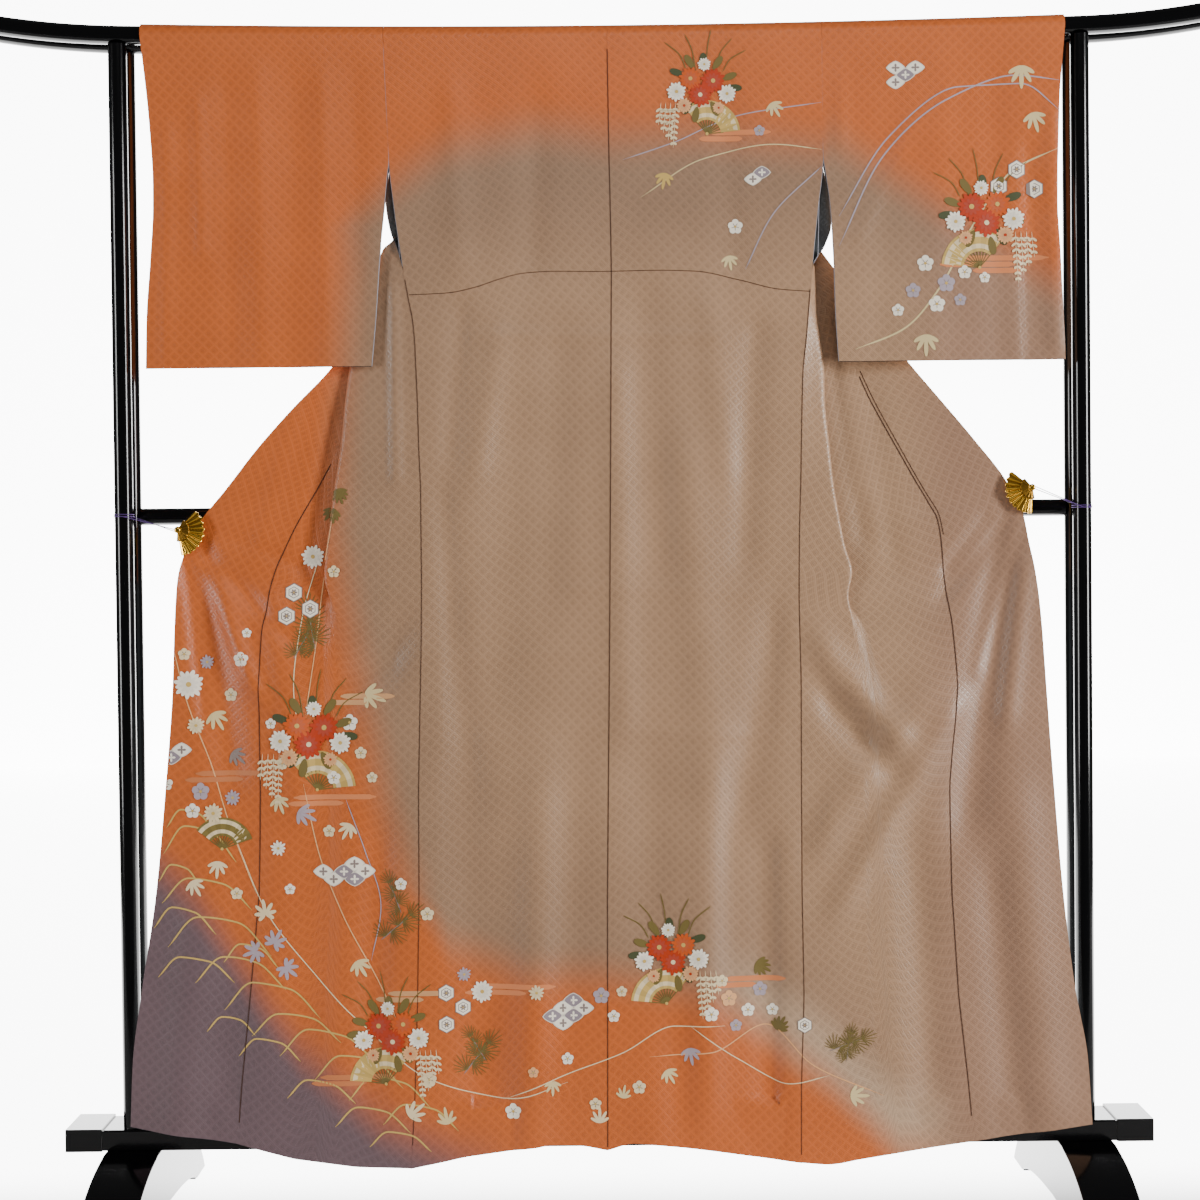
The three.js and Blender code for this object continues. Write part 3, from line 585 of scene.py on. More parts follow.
class Shader:
    """A material whose nodes are added one call at a time."""

    def __init__(self, name, **settings):
        self.material = bpy.data.materials.new(name)
        self.material.use_nodes = True
        self.tree = self.material.node_tree
        self.surface = self.tree.nodes["Principled BSDF"]
        for label, value in settings.items():
            self.surface.inputs[label.replace("_", " ")].default_value = value

    def node(self, kind, **properties):
        node = self.tree.nodes.new(kind)
        for label, value in properties.items():
            setattr(node, label, value)
        return node

    def link(self, source, target):
        self.tree.links.new(source, target)

    def maths(self, operation, first, second=None):
        node = self.node("ShaderNodeMath", operation=operation)
        for socket, value in zip(node.inputs, (first, second)):
            if isinstance(value, bpy.types.NodeSocket):
                self.link(value, socket)
            elif value is not None:
                socket.default_value = value
        return node.outputs[0]

    def ramp(self, value, low, high, start, end):
        """start where value is low, end where it is high, and a smooth rise between."""
        node = self.node("ShaderNodeMapRange", interpolation_type="SMOOTHSTEP")
        self.link(value, node.inputs["Value"])
        limits = {"From Min": low, "From Max": high, "To Min": start, "To Max": end}
        for label, number in limits.items():
            node.inputs[label].default_value = number
        return node.outputs["Result"]

    def scaled(self, colour, factor):
        node = self.node("ShaderNodeVectorMath", operation="SCALE")
        self.link(colour, node.inputs[0])
        self.link(factor, node.inputs["Scale"])
        return node.outputs[0]


LATTICE = 0.0165  # one repeat of the woven lozenges
TWILL = 0.0034
FIGURE_CONTRAST = 0.09
TWILL_CONTRAST = 0.03


def silk_material():
    """Dyed silk with woven lozenges; the colour's alpha is how much of the weave shows."""
    shader = Shader("silk", Sheen_Weight=0.06, Sheen_Roughness=0.45, Specular_IOR_Level=0.5)
    surface = shader.surface
    dye = shader.node("ShaderNodeAttribute", attribute_name="dye")
    place = shader.node("ShaderNodeAttribute", attribute_name="cloth")
    split = shader.node("ShaderNodeSeparateXYZ")
    shader.link(place.outputs["Vector"], split.inputs[0])
    across, along = split.outputs[0], split.outputs[1]
    rising = shader.maths("ADD", across, along)
    falling = shader.maths("SUBTRACT", across, along)
    first = shader.maths("PINGPONG", shader.maths("MULTIPLY", rising, 1 / LATTICE), 0.5)
    second = shader.maths("PINGPONG", shader.maths("MULTIPLY", falling, 1 / LATTICE), 0.5)
    line = shader.ramp(shader.maths("MINIMUM", first, second), 0.05, 0.2, 1, 0)
    flower = shader.ramp(shader.maths("ADD", first, second), 0.66, 0.82, 0, 1)
    figure = shader.maths("MAXIMUM", line, flower)
    twill = shader.maths("SINE", shader.maths("MULTIPLY", rising, 2 * math.pi / TWILL))
    noise = shader.node("ShaderNodeTexNoise")
    shader.link(place.outputs["Vector"], noise.inputs["Vector"])
    noise.inputs["Scale"].default_value = 9
    noise.inputs["Detail"].default_value = 4
    cloudy = shader.ramp(noise.outputs[0], 0.3, 0.7, -0.04, 0.04)
    lighter = shader.maths("MULTIPLY", line, FIGURE_CONTRAST)
    darker = shader.maths("MULTIPLY", flower, FIGURE_CONTRAST)
    pattern = shader.maths("SUBTRACT", lighter, darker)
    pattern = shader.maths("ADD", pattern, shader.maths("MULTIPLY", twill, TWILL_CONTRAST))
    pattern = shader.maths("ADD", shader.maths("MULTIPLY", pattern, dye.outputs["Alpha"]), cloudy)
    shade = shader.maths("ADD", pattern, 1)
    shader.link(shader.scaled(dye.outputs["Color"], shade), surface.inputs["Base Color"])
    shader.link(shader.ramp(figure, 0, 1, 0.34, 0.48), surface.inputs["Roughness"])
    bump = shader.node("ShaderNodeBump")
    bump.inputs["Distance"].default_value = 0.0004
    bump.inputs["Strength"].default_value = 0.35
    height = shader.maths("ADD", figure, shader.maths("MULTIPLY", twill, 0.3))
    shader.link(height, bump.inputs["Height"])
    shader.link(bump.outputs[0], surface.inputs["Normal"])
    return shader.material


def painted_material(name, roughness, specular):
    """A finish whose colour is each point's own."""
    shader = Shader(name, Roughness=roughness, Specular_IOR_Level=specular)
    dye = shader.node("ShaderNodeAttribute", attribute_name="dye")
    shader.link(dye.outputs["Color"], shader.surface.inputs["Base Color"])
    return shader.material


def plain_material(name, colour, roughness, metallic=0, specular=0.5):
    settings = {"Base_Color": (*linear(colour), 1), "Roughness": roughness, "Metallic": metallic}
    return Shader(name, **settings, Specular_IOR_Level=specular).material


SILK = silk_material()
FLOWERS = painted_material("flowers", 0.55, 0.4)
EDGING = painted_material("edging", 0.9, 0.1)
LACQUER = plain_material("lacquer", "050506", 0.12, specular=0.35)
RUBBER = plain_material("rubber", "1a1a1a", 0.8)
GILT = plain_material("gilt", "d9a83f", 0.24, metallic=1)
GILT_DARK = plain_material("gilt_dark", "8a6526", 0.35, metallic=1)
THREAD = plain_material("thread", "4b2b6e", 0.7)

# ---- Meshes ----


def add_mesh(name, points, faces, material, nodes=(), colours=None, sharp=None):
    """A smooth-shaded piece that rides on the part's body and stands for these CAD nodes."""
    mesh = bpy.data.meshes.new(name)
    mesh.from_pydata((np.asarray(points) * MM).tolist(), [], faces)
    mesh.shade_smooth()
    if sharp is not None:
        mesh.set_sharp_from_angle(angle=math.radians(sharp))
    if colours is not None:
        attribute = mesh.color_attributes.new("dye", "FLOAT_COLOR", "POINT")
        attribute.data.foreach_set("color", np.asarray(colours, np.float32).ravel())
    mesh.materials.append(material)
    piece = bpy.data.objects.new(name, mesh)
    bpy.context.scene.collection.objects.link(piece)
    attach(piece, "root")
    if nodes:
        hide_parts(*nodes)
    return piece


def wall(grid, thickness, absent=None):
    """Points and faces of a closed wall on a grid: all outer points first, then all inner ones."""
    rows, columns = grid.shape[:2]
    present = np.ones((rows - 1, columns - 1), bool) if absent is None else ~absent
    along = grid[1:, 1:] - grid[:-1, :-1]
    across = grid[1:, :-1] - grid[:-1, 1:]
    normals = np.cross(along, across)
    normals /= np.linalg.norm(normals, axis=2, keepdims=True) + 1e-9
    normals *= present[..., None]
    sums = np.zeros_like(grid)
    for down in (0, 1):
        for right in (0, 1):
            sums[down : rows - 1 + down, right : columns - 1 + right] += normals
    sums /= np.linalg.norm(sums, axis=2, keepdims=True) + 1e-9
    outer = (grid + sums * thickness / 2).reshape(-1, 3)
    inner = (grid - sums * thickness / 2).reshape(-1, 3)
    count = rows * columns
    r, c = np.nonzero(present)
    corner = r * columns + c
    ring = np.stack([corner, corner + columns, corner + columns + 1, corner + 1])
    faces = ring[::-1].T.tolist() + (ring + count).T.tolist()
    edges = {}
    for a, b, c2, d in ring.T.tolist():
        for edge in ((a, b), (b, c2), (c2, d), (d, a)):
            if edge[::-1] in edges:
                del edges[edge[::-1]]
            else:
                edges[edge] = True
    faces += [[a, b, b + count, a + count] for a, b in edges]
    used = np.zeros(2 * count, bool)
    for face in (ring, ring + count):
        used[face.ravel()] = True
    renumber = np.cumsum(used) - 1
    faces = [[int(renumber[i]) for i in face] for face in faces]
    return np.vstack([outer, inner])[used], faces, used


def cloth(name, node, grid, absent=None, thickness=CLOTH, lined=True):
    """A silk panel on its grid, dyed outside and, where it is lined, plain inside in a lining colour
    darkened with painted shade.
    """
    points, faces, used = wall(grid, thickness, absent)
    x, z = grid[..., 0].ravel(), grid[..., 2].ravel()
    outside = np.hstack([dyed(x, z), np.ones((len(x), 1))])
    # Inside faces get the lining colour, which carries painted shade for the gaps between layers.
    inside = np.hstack([np.tile(LINING_IN_PAINTED_SHADE, (len(x), 1)), np.zeros((len(x), 1))])
    colours = np.vstack([outside, inside if lined else outside])[used]
    piece = add_mesh(name, points, faces, SILK, (node,), colours, sharp=65)
    steps = np.linalg.norm(np.diff(grid, axis=1), axis=2)
    across = np.hstack([np.zeros((len(grid), 1)), np.cumsum(steps, axis=1)])
    rises = np.linalg.norm(np.diff(grid, axis=0), axis=2)
    along = np.vstack([np.zeros((1, grid.shape[1])), np.cumsum(rises, axis=0)])
    flat = np.stack([across.ravel(), along.ravel(), np.zeros(len(x))], axis=1)
    attribute = piece.data.attributes.new("cloth", "FLOAT_VECTOR", "POINT")
    both = np.vstack([flat, flat])[used] * MM
    attribute.data.foreach_set("vector", both.astype(np.float32).ravel())
    return piece


def tube(path, radius, sides=12, rounded=0):
    """Points and faces of a round bar along a path, with ends eased over a length."""
    path = np.asarray(path, float)
    radii = np.full(len(path), float(radius))
    if rounded:
        first = (path[1] - path[0]) / np.linalg.norm(path[1] - path[0])
        last = (path[-1] - path[-2]) / np.linalg.norm(path[-1] - path[-2])
        heads = [path[0] + first * rounded * s for s in (0, 0.15, 0.5, 1)]
        tails = [path[-1] - last * rounded * s for s in (1, 0.5, 0.15, 0)]
        ease = radius - rounded * np.array([1, 0.5, 0.15, 0])
        path = np.vstack([heads, path[1:-1], tails])
        radii = np.concatenate([ease, radii[1:-1], ease[::-1]])
    tangents = np.gradient(path, axis=0)
    tangents /= np.linalg.norm(tangents, axis=1, keepdims=True)
    helper = Vector((0, 0, 1)) if abs(tangents[0][2]) < 0.9 else Vector((0, 1, 0))
    across = Vector(tangents[0]).cross(helper).normalized()
    points = []
    for centre, tangent, size in zip(path, tangents, radii):
        tangent = Vector(tangent)
        across = (across - tangent * across.dot(tangent)).normalized()
        other = tangent.cross(across)
        for i in range(sides):
            turn = 2 * math.pi * i / sides
            offset = across * math.cos(turn) + other * math.sin(turn)
            points.append(Vector(centre) + offset * size)
    faces = []
    for i in range(len(path) - 1):
        for j in range(sides):
            k = (j + 1) % sides
            low, high = i * sides, (i + 1) * sides
            faces.append([low + j, low + k, high + k, high + j])
    faces.append(list(range(sides))[::-1])
    faces.append([(len(path) - 1) * sides + j for j in range(sides)])
    return np.array(points), faces


def joined(parts):
    """Several bodies' points and faces as one."""
    points, faces = [], []
    for body_points, body_faces in parts:
        start = sum(len(p) for p in points)
        points.append(body_points)
        faces += [[start + i for i in face] for face in body_faces]
    return np.vstack(points), faces


def block(low, high):
    (x0, y0, z0), (x1, y1, z1) = low, high
    points = [(x, y, z) for x in (x0, x1) for y in (y0, y1) for z in (z0, z1)]
    faces = [[0, 1, 3, 2], [4, 6, 7, 5], [0, 4, 5, 1], [2, 3, 7, 6], [0, 2, 6, 4], [1, 5, 7, 3]]
    return np.array(points, float), faces


def bevel(piece, width):
    modifier = piece.modifiers.new("bevel", "BEVEL")
    modifier.width = width * MM
    modifier.segments = 3
    modifier.limit_method = "ANGLE"
    modifier.angle_limit = math.radians(35)
    modifier.harden_normals = True


# ---- The stand ----

for arch, y in (("front", -ARCH_Y), ("rear", ARCH_Y)):
    xs = np.linspace(-BAR_END, BAR_END, 81)
    path = [(x, y, bar_height(x)) for x in xs]
    points, faces = tube(path, TUBE_RADIUS, 40, rounded=3)
    add_mesh("lacquer_bar_" + arch, points, faces, LACQUER, ("bar_" + arch,), sharp=60)
    for side, sign in SIGN.items():
        path = [(sign * POST_X, y, 153.3), (sign * POST_X, y, 900), (sign * POST_X, y, 1737.7)]
        points, faces = tube(path, TUBE_RADIUS, 40)
        name = "post_" + arch + "_" + side
        add_mesh("lacquer_" + name, points, faces, LACQUER, (name,), sharp=60)
reach = POST_X - TUBE_RADIUS - 0.3
points, faces = tube([(x, ARCH_Y, CROSSBAR_HEIGHT) for x in (-reach, 0, reach)], CROSSBAR_RADIUS, 40)
add_mesh("lacquer_crossbar", points, faces, LACQUER, ("crossbar",), sharp=60)

parts = [block((-795, -43, 124), (795, 43, 153)), block((-740, -43, 152), (740, -39.5, 154.6))]
for sign in (-1, 1):
    x0, x1 = sorted((sign * 742, sign * 796))
    parts.append(block((x0, -44.5, 122.9), (x1, 44.5, 156)))
points, faces = joined(parts)
bevel(add_mesh("lacquer_beam", points, faces, LACQUER, ("base_beam",), sharp=35), 2)

FOOT_TOP = np.array([
    (0, 0), (62, 0), (118, -10), (168, -26), (214, -50), (250, -78), (274, -104), (285, -119.7),
], float)
FOOT_UNDER = np.array([(222, -119.7), (204, -112), (150, -102), (75, -95), (0, -92)], float)


def foot_mesh(x):
    top = glide(FOOT_TOP[1:], np.linspace(0, 6, 31))
    under = glide(FOOT_UNDER, np.linspace(0, 4, 17))
    half = np.vstack([top, under])
    outline = np.vstack([half, half[-2::-1] * (-1, 1)])
    count = len(outline)
    points = [(x + across, y, 123.7 + z) for across in (-40, 40) for y, z in outline]
    faces = [[i, (i + 1) % count, count + (i + 1) % count, count + i] for i in range(count)]
    faces += [list(range(count))[::-1], list(range(count, 2 * count))]
    return np.array(points), faces


for side, sign in SIGN.items():
    points, faces = foot_mesh(sign * 696)
    foot = add_mesh("lacquer_foot_" + side, points, faces, LACQUER, ("foot_" + side,), sharp=35)
    bevel(foot, 2.5)
    for end in ("front", "rear"):
        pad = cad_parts["foot_pad_" + end + "_" + side]
        pad.data.materials.clear()
        pad.data.materials.append(RUBBER)

# ---- The kimono ----

STEP = 8.5  # spacing of the cloth's grid
EDGE_RADIUS = 0.7
EDGE_SIDES = 8
panels = []
edging = []
for side in ("left", "right"):
    coarse, absent = body_grid(side)
    grid, absent = refine(coarse, STEP, absent)
    meet_at_side(grid, side)
    crease_body(grid, side)
    panel = cloth("silk_body_" + side, "body_" + side, grid, absent)
    panels.append(panel)

    side_edge = grid[:, 0] if side == "left" else grid[:, -1]
    free = side_edge[(side_edge[:, 2] > SIDE_TOP + 2) & (side_edge[:, 2] < TOP_ROW)]
    edging += [(free[free[:, 1] < -40], PIPING), (free[free[:, 1] > -40], PIPING), (grid[0], SLATE)]

    grid, _ = refine(okumi_grid(side), STEP)
    crease_body(grid, side)
    panel = cloth("silk_okumi_" + side, "okumi_" + side, grid)
    panels.append(panel)
    edging.append((grid[0], SLATE))

    grid, _ = refine(sleeve_grid(side), STEP)
    crease_sleeve(grid)
    panel = cloth("silk_sleeve_" + side, "sleeve_" + side, grid)
    panels.append(panel)
    inner_edge = grid[:, -1] if side == "left" else grid[:, 0]
    free = inner_edge[(inner_edge[:, 2] < TOP_ROW) & (inner_edge[:, 1] < -42)]
    edging += [(free, PIPING), (grid[0], SLATE)]

grid, _ = refine(collar_grid(), STEP)
for side, sign in SIGN.items():
    # The collar follows its front's folds below the bar.
    half = (grid[..., 0] * sign > 0) & (grid[..., 2] < 1700)
    moved = grid.copy()
    crease_body(moved, side)
    grid[half] = moved[half]
collar = cloth("silk_collar", "collar", grid, thickness=COLLAR_CLOTH, lined=False)
panels.append(collar)

edging = [(line, colour) for line, colour in edging if len(line) > 2]
points, faces = joined([tube(line, EDGE_RADIUS, EDGE_SIDES) for line, _ in edging])
colours = [np.tile((*colour, 1), (EDGE_SIDES * len(line), 1)) for line, colour in edging]
add_mesh("silk_edging", points, faces, EDGING, colours=np.vstack(colours))

# ---- Flowers and seams laid on the cloth ----

all_points, all_faces = [], []
for panel in panels:
    start = len(all_points)
    all_points += [vertex.co for vertex in panel.data.vertices]
    all_faces += [[start + i for i in face.vertices] for face in panel.data.polygons]
SURFACE = BVHTree.FromPolygons(all_points, all_faces)

GOLD = linear("cdaa5c")
PALE_GOLD = linear("dcc58f")
WHITE = linear("faf0dc")
CREAM = linear("e9d3a6")
RED = linear("b5360f")
DEEP_ORANGE = linear("cb5518")
PEACH = linear("e8ab74")
OLIVE = linear("70602f")
GREEN = linear("454a2c")
LILAC = linear("ab9ca4")
STONE = linear("8b7b74")
MIST = linear("d9824f")


class Applique:
    """Flat shapes laid on the cloth; they are drawn in X and Z and dropped on it from the front."""

    def __init__(self):
        self.corners = []
        self.faces = []
        self.colours = []
        self.lifts = []

    def extend(self, corners, faces, colour, level):
        start = len(self.corners)
        self.corners += [tuple(corner) for corner in corners]
        self.colours += [colour] * len(corners)
        self.lifts += [0.45 + 0.22 * level] * len(corners)
        self.faces += [[start + i for i in face] for face in faces]

    def shape(self, outline, colour, level=0):
        """A filled outline that is seen whole from its middle."""
        outline = np.asarray(outline, float)
        turned = np.roll(outline, -1, axis=0)
        if np.sum(outline[:, 0] * turned[:, 1] - turned[:, 0] * outline[:, 1]) < 0:
            outline = outline[::-1]
        count = len(outline)
        corners = [outline.mean(axis=0), *outline]
        faces = [[0, 1 + i, 1 + (i + 1) % count] for i in range(count)]
        self.extend(corners, faces, colour, level)

    def ribbon(self, line, width, colour, level=0, taper=True):
        """A narrow strip along a smooth line through these points."""
        line = np.asarray(line, float)
        fine = glide(line, stations_for(line, 5))
        heading = np.gradient(fine, axis=0)
        heading /= np.linalg.norm(heading, axis=1, keepdims=True) + 1e-9
        share = np.linspace(0, 1, len(fine))
        fullness = np.clip(np.sin(math.pi * share) * 4, 0.25, 1) if taper else np.ones(len(fine))
        aside = np.stack([-heading[:, 1], heading[:, 0]], axis=1) * (width / 2 * fullness)[:, None]
        count = len(fine)
        faces = [[i, count + i, count + i + 1, i + 1] for i in range(count - 1)]
        self.extend([*(fine + aside), *(fine - aside)], faces, colour, level)

    def rod(self, start, end, width, colour, level=0):
        """A straight strip of even width."""
        start, end = np.array(start, float), np.array(end, float)
        self.ribbon([start, (start + end) / 2, end], width, colour, level, taper=False)

    def finish(self, name, material):
        """Drops the shapes on the cloth as one piece."""
        points, kept = [], []
        for (x, z), lift in zip(self.corners, self.lifts):
            place, normal, _, _ = SURFACE.ray_cast(Vector((x * MM, -1, z * MM)), Vector((0, 1, 0)))
            if place is None:
                points.append(None)
                continue
            if normal.y > 0:
                normal = -normal
            points.append(place / MM + normal * lift)
        for face in self.faces:
            if all(points[i] is not None for i in face):
                depths = [points[i].y for i in face]
                if max(depths) - min(depths) < 5:
                    kept.append(face)
        used = sorted({i for face in kept for i in face})
        renumber = {old: new for new, old in enumerate(used)}
        faces = [[renumber[i] for i in face] for face in kept]
        colours = [(*self.colours[i], 1) for i in used]
        add_mesh(name, [points[i] for i in used], faces, material, colours=colours)


art = Applique()


def round_about(count):
    return np.linspace(0, 2 * math.pi, count, endpoint=False)


def arc(x, z, radius, turns):
    """Points round a centre at these angles."""
    return np.stack([x + radius * np.cos(turns), z + radius * np.sin(turns)], axis=1)


def spot(x, z, radius, colour, level=0, sides=12):
    art.shape(arc(x, z, radius, round_about(sides)), colour, level)


def leaf(x, z, heading, length, width, colour, level=0):
    """A leaf or petal from its stalk, at a heading in degrees from +X."""
    turns = round_about(14)
    along = length / 2 * (1 - np.cos(turns))
    across = width / 2 * np.sin(turns) * (0.55 + 0.45 * np.sin(turns / 2))
    cos, sin = math.cos(math.radians(heading)), math.sin(math.radians(heading))
    outline = np.stack([x + along * cos - across * sin, z + along * sin + across * cos], axis=1)
    art.shape(outline, colour, level)


def chrysanthemum(x, z, radius, colour, petals=15, heart=GOLD, level=2):
    for i in range(petals):
        length = radius * (1 if i % 2 else 0.88)
        leaf(x, z, 360 * i / petals, length, radius * 0.36, colour, level + (i % 2) * 0.6)
    for i in range(petals - 5):
        heading = 360 * i / (petals - 5) + 11
        leaf(x, z, heading, radius * 0.6, radius * 0.26, colour * 0.86 + 0.02, level + 1.4)
    spot(x, z, radius * 0.17, heart, level + 2.4)


def plum(x, z, radius, colour):
    turns = round_about(5) + math.pi / 2
    for place in arc(x, z, 0.56 * radius, turns):
        spot(*place, radius * 0.45, colour, 1)
    for tip in arc(x, z, 0.5 * radius, turns + math.pi / 5):
        art.rod((x, z), tip, 0.8, STONE, 1.8)
    spot(x, z, radius * 0.17, GOLD, 2.4, sides=8)


def spray(x, z, heading, size, colour, count=5, spread=120, slim=0.22, level=0):
    """Leaves fanned out from one point, as bamboo or maple leaves are."""
    for i in range(count):
        share = i / (count - 1) - 0.5
        length = size * (1 - 0.45 * abs(share) * 2 * 0.8)
        leaf(x, z, heading + spread * share, length, size * slim, colour, level + 0.1 * i)


def pine(x, z, heading, size):
    """Tufts of needles along a short twig."""
    cos, sin = math.cos(math.radians(heading)), math.sin(math.radians(heading))

    def along(share):
        return (x + size * share * cos, z + size * share * sin)

    art.ribbon([along(0), along(0.6), along(1)], 1.6, STONE)
    for share, turn in ((0.15, 75), (0.35, -70), (0.6, 60), (0.75, -50), (1, 0)):
        spray(*along(share), heading + turn, size * 0.5, OLIVE, count=9, spread=130, slim=0.055)


def hexagon(x, z, radius):
    turns = round_about(6) + math.pi / 6
    for share, tone, level in ((1, STONE, 1), (0.9, WHITE, 1.5), (0.62, STONE, 2), (0.54, WHITE, 2.5)):
        art.shape(arc(x, z, radius * share, turns), tone, level)
    for i in range(6):
        leaf(x, z, 60 * i, radius * 0.36, radius * 0.2, STONE, 3.2)
    spot(x, z, radius * 0.09, GOLD, 3.8, sides=8)


def lozenge(x, z, size, dark):
    """A rounded tile with a four-petalled flower, standing on its corner."""
    ground, figure = (LILAC * 0.7, WHITE) if dark else (WHITE, STONE)
    turns = round_about(24)
    wide = 1 / (np.abs(np.cos(turns)) ** 1.3 + np.abs(np.sin(turns)) ** 1.3) ** (1 / 1.3)
    for share, tone, level in ((1, WHITE * 0.8, 1), (0.88, ground, 1.6)):
        reach = size * share * wide
        outline = np.stack([x + reach * np.cos(turns), z + 0.72 * reach * np.sin(turns)], axis=1)
        art.shape(outline, tone, level)
    for i in range(4):
        leaf(x, z, 90 * i, size * 0.42, size * 0.24, figure, 2.3)


def tiles(x, z, size, layout):
    """Lozenges edge to edge; layout gives each one's place in the lattice and whether it is dark."""
    for right, up, dark in layout:
        lozenge(x + (right - up) * size * 1.02, z + (right + up) * size * 0.74, size, dark)


def grass(points, colour=PALE_GOLD, width=2.0, level=0):
    art.ribbon(points, width, colour, level)


def trailing(x, z, length, lean, colour=CREAM, level=1):
    """A hanging spray of small paired leaves."""
    art.ribbon([(x, z), (x + lean * 0.4, z - length / 2), (x + lean, z - length)], 0.9, colour, level)
    count = int(length / 8)
    for i in range(1, count):
        share = i / count
        place = (x + lean * share, z - length * share)
        for turn in (-140, -40):
            leaf(*place, turn, 8 * (1.15 - 0.5 * share), 4.2, colour, level + 0.4)


def folding_fan(x, z, radius, heading, ground=GOLD):
    """An open folding fan: ribs from a rivet, and a banded leaf."""
    folds = 10
    turns = np.radians(heading + 125 * (np.arange(2 * folds + 1) / (2 * folds) - 0.5))
    bands = [(0.42, 1, ground, 0.3), (0.5, 0.93, CREAM, 0.6), (0.62, 0.8, ground, 0.9)]
    for low, high, tone, level in bands:
        for i in range(folds):
            fold = turns[2 * i : 2 * i + 3]
            outline = np.vstack([arc(x, z, radius * high, fold), arc(x, z, radius * low, fold[::-1])])
            art.shape(outline, tone * (1 if i % 2 else 0.84), level)
    for tip in arc(x, z, radius * 0.5, turns[::2]):
        art.rod((x, z), tip, 1.6, OLIVE, 0.2)
    spot(x, z, 2.4, GOLD, 1.2, sides=8)


def mist(x, z, widths, colour=MIST):
    """Rounded bars of drifting mist, one under the other."""
    for i, width in enumerate(widths):
        middle = x + 14 * (-1) ** i
        line = [(middle + aside * width / 2, z - 9 * i) for aside in (-1, 0, 1)]
        art.ribbon(line, 7.5, colour)


BOUQUET_LEAVES = [
    (-30, -10, 200, None), (-16, -24, 245, OLIVE), (20, -22, 300, None), (36, -4, 345, OLIVE),
    (-36, 16, 160, OLIVE), (32, 24, 20, None), (0, 36, 95, None), (16, 36, 60, OLIVE),
    (-20, 34, 125, OLIVE), (-44, 2, 185, None), (10, -34, 280, OLIVE),
]
BOUQUET_FLOWERS = [
    (-20, 14, 24, RED, GOLD), (22, 18, 22, DEEP_ORANGE, GOLD), (4, -12, 24, RED, CREAM),
    (48, -6, 19, WHITE, GOLD), (-46, -10, 18, WHITE, GOLD), (34, -32, 15, PEACH, RED),
    (-4, 44, 13, WHITE, GOLD), (-30, -36, 12, PEACH, RED),
]
BOUQUET_GRASSES = [(-24, 62, -32), (-7, 78, -10), (12, 70, 20), (28, 56, 42), (-38, 40, -44)]


def bouquet(x, z, size, mirror=1, leafy=GREEN):
    """Chrysanthemums over an open folding fan, with leaves, grasses and a hanging spray."""

    def at(right, up):
        return (x + mirror * right * size, z + up * size)

    folding_fan(*at(-8, -84), 62 * size, 90 + mirror * 22)
    for right, up, heading, colour in BOUQUET_LEAVES:
        turned = heading if mirror > 0 else 180 - heading
        leaf(*at(right, up), turned, 30 * size, 15 * size, leafy if colour is None else colour, 2)
    for right, up, radius, colour, heart in BOUQUET_FLOWERS:
        chrysanthemum(*at(right, up), radius * size, colour, heart=heart, level=3.4)
    for right, rise, lean in BOUQUET_GRASSES:
        line = [at(right, 30), at(right + lean * 0.3, 30 + rise * 0.55), at(right + lean, 30 + rise)]
        grass(line, OLIVE, 1.5, level=1)
    for i in range(4):
        trailing(*at(50 + 9 * i, -26), (84 - 14 * i) * size, mirror * 4, level=2)


def scatter(motif, *rows):
    """The motif once for each row of its own values."""
    for row in rows:
        motif(*row)


# Right shoulder.
scatter(
    grass,
    ([(34, 1560), (110, 1585), (200, 1622), (322, 1640)], LILAC, 1.6),
    ([(60, 1506), (150, 1560), (250, 1580), (322, 1572)], PALE_GOLD, 1.5),
    ([(210, 1400), (250, 1478), (322, 1548)], LILAC, 1.8),
)
bouquet(150, 1662, 0.78, -1)
tiles(222, 1530, 13, [(0, 0, False), (1, 0, True)])
scatter(
    spray,
    (250, 1640, -60, 24, PALE_GOLD), (95, 1540, -100, 24, GOLD), (186, 1420, -80, 22, PALE_GOLD),
)
scatter(plum, (196, 1462, 11, WHITE), (232, 1600, 8, LILAC))
mist(190, 1598, (90, 62))

# Right sleeve.
scatter(
    grass,
    ([(346, 1432), (410, 1560), (500, 1640), (600, 1676), (672, 1668)], LILAC, 2.2),
    ([(346, 1475), (420, 1590), (520, 1660), (610, 1664), (670, 1622)], LILAC, 2.0),
    ([(368, 1282), (440, 1312), (492, 1372), (540, 1460), (600, 1540), (664, 1570)], PALE_GOLD, 2.6),
)
tiles(430, 1668, 14, [(0, 0, False), (1, 0, True), (1, 1, False), (2, 0, False)])
scatter(
    spray,
    (612, 1690, -90, 34, PALE_GOLD), (628, 1622, -75, 30, PALE_GOLD), (470, 1302, -90, 32, PALE_GOLD),
)
scatter(hexagon, (604, 1540, 14), (578, 1516, 14), (630, 1512, 14))
mist(560, 1412, (150, 110, 70))
bouquet(556, 1474, 0.9)
scatter(
    plum,
    (470, 1405, 12, WHITE), (500, 1376, 13, LILAC), (527, 1392, 10, WHITE), (452, 1366, 11, LILAC),
    (486, 1346, 12, WHITE), (520, 1352, 9, LILAC), (430, 1338, 9, WHITE), (556, 1384, 8, WHITE),
)

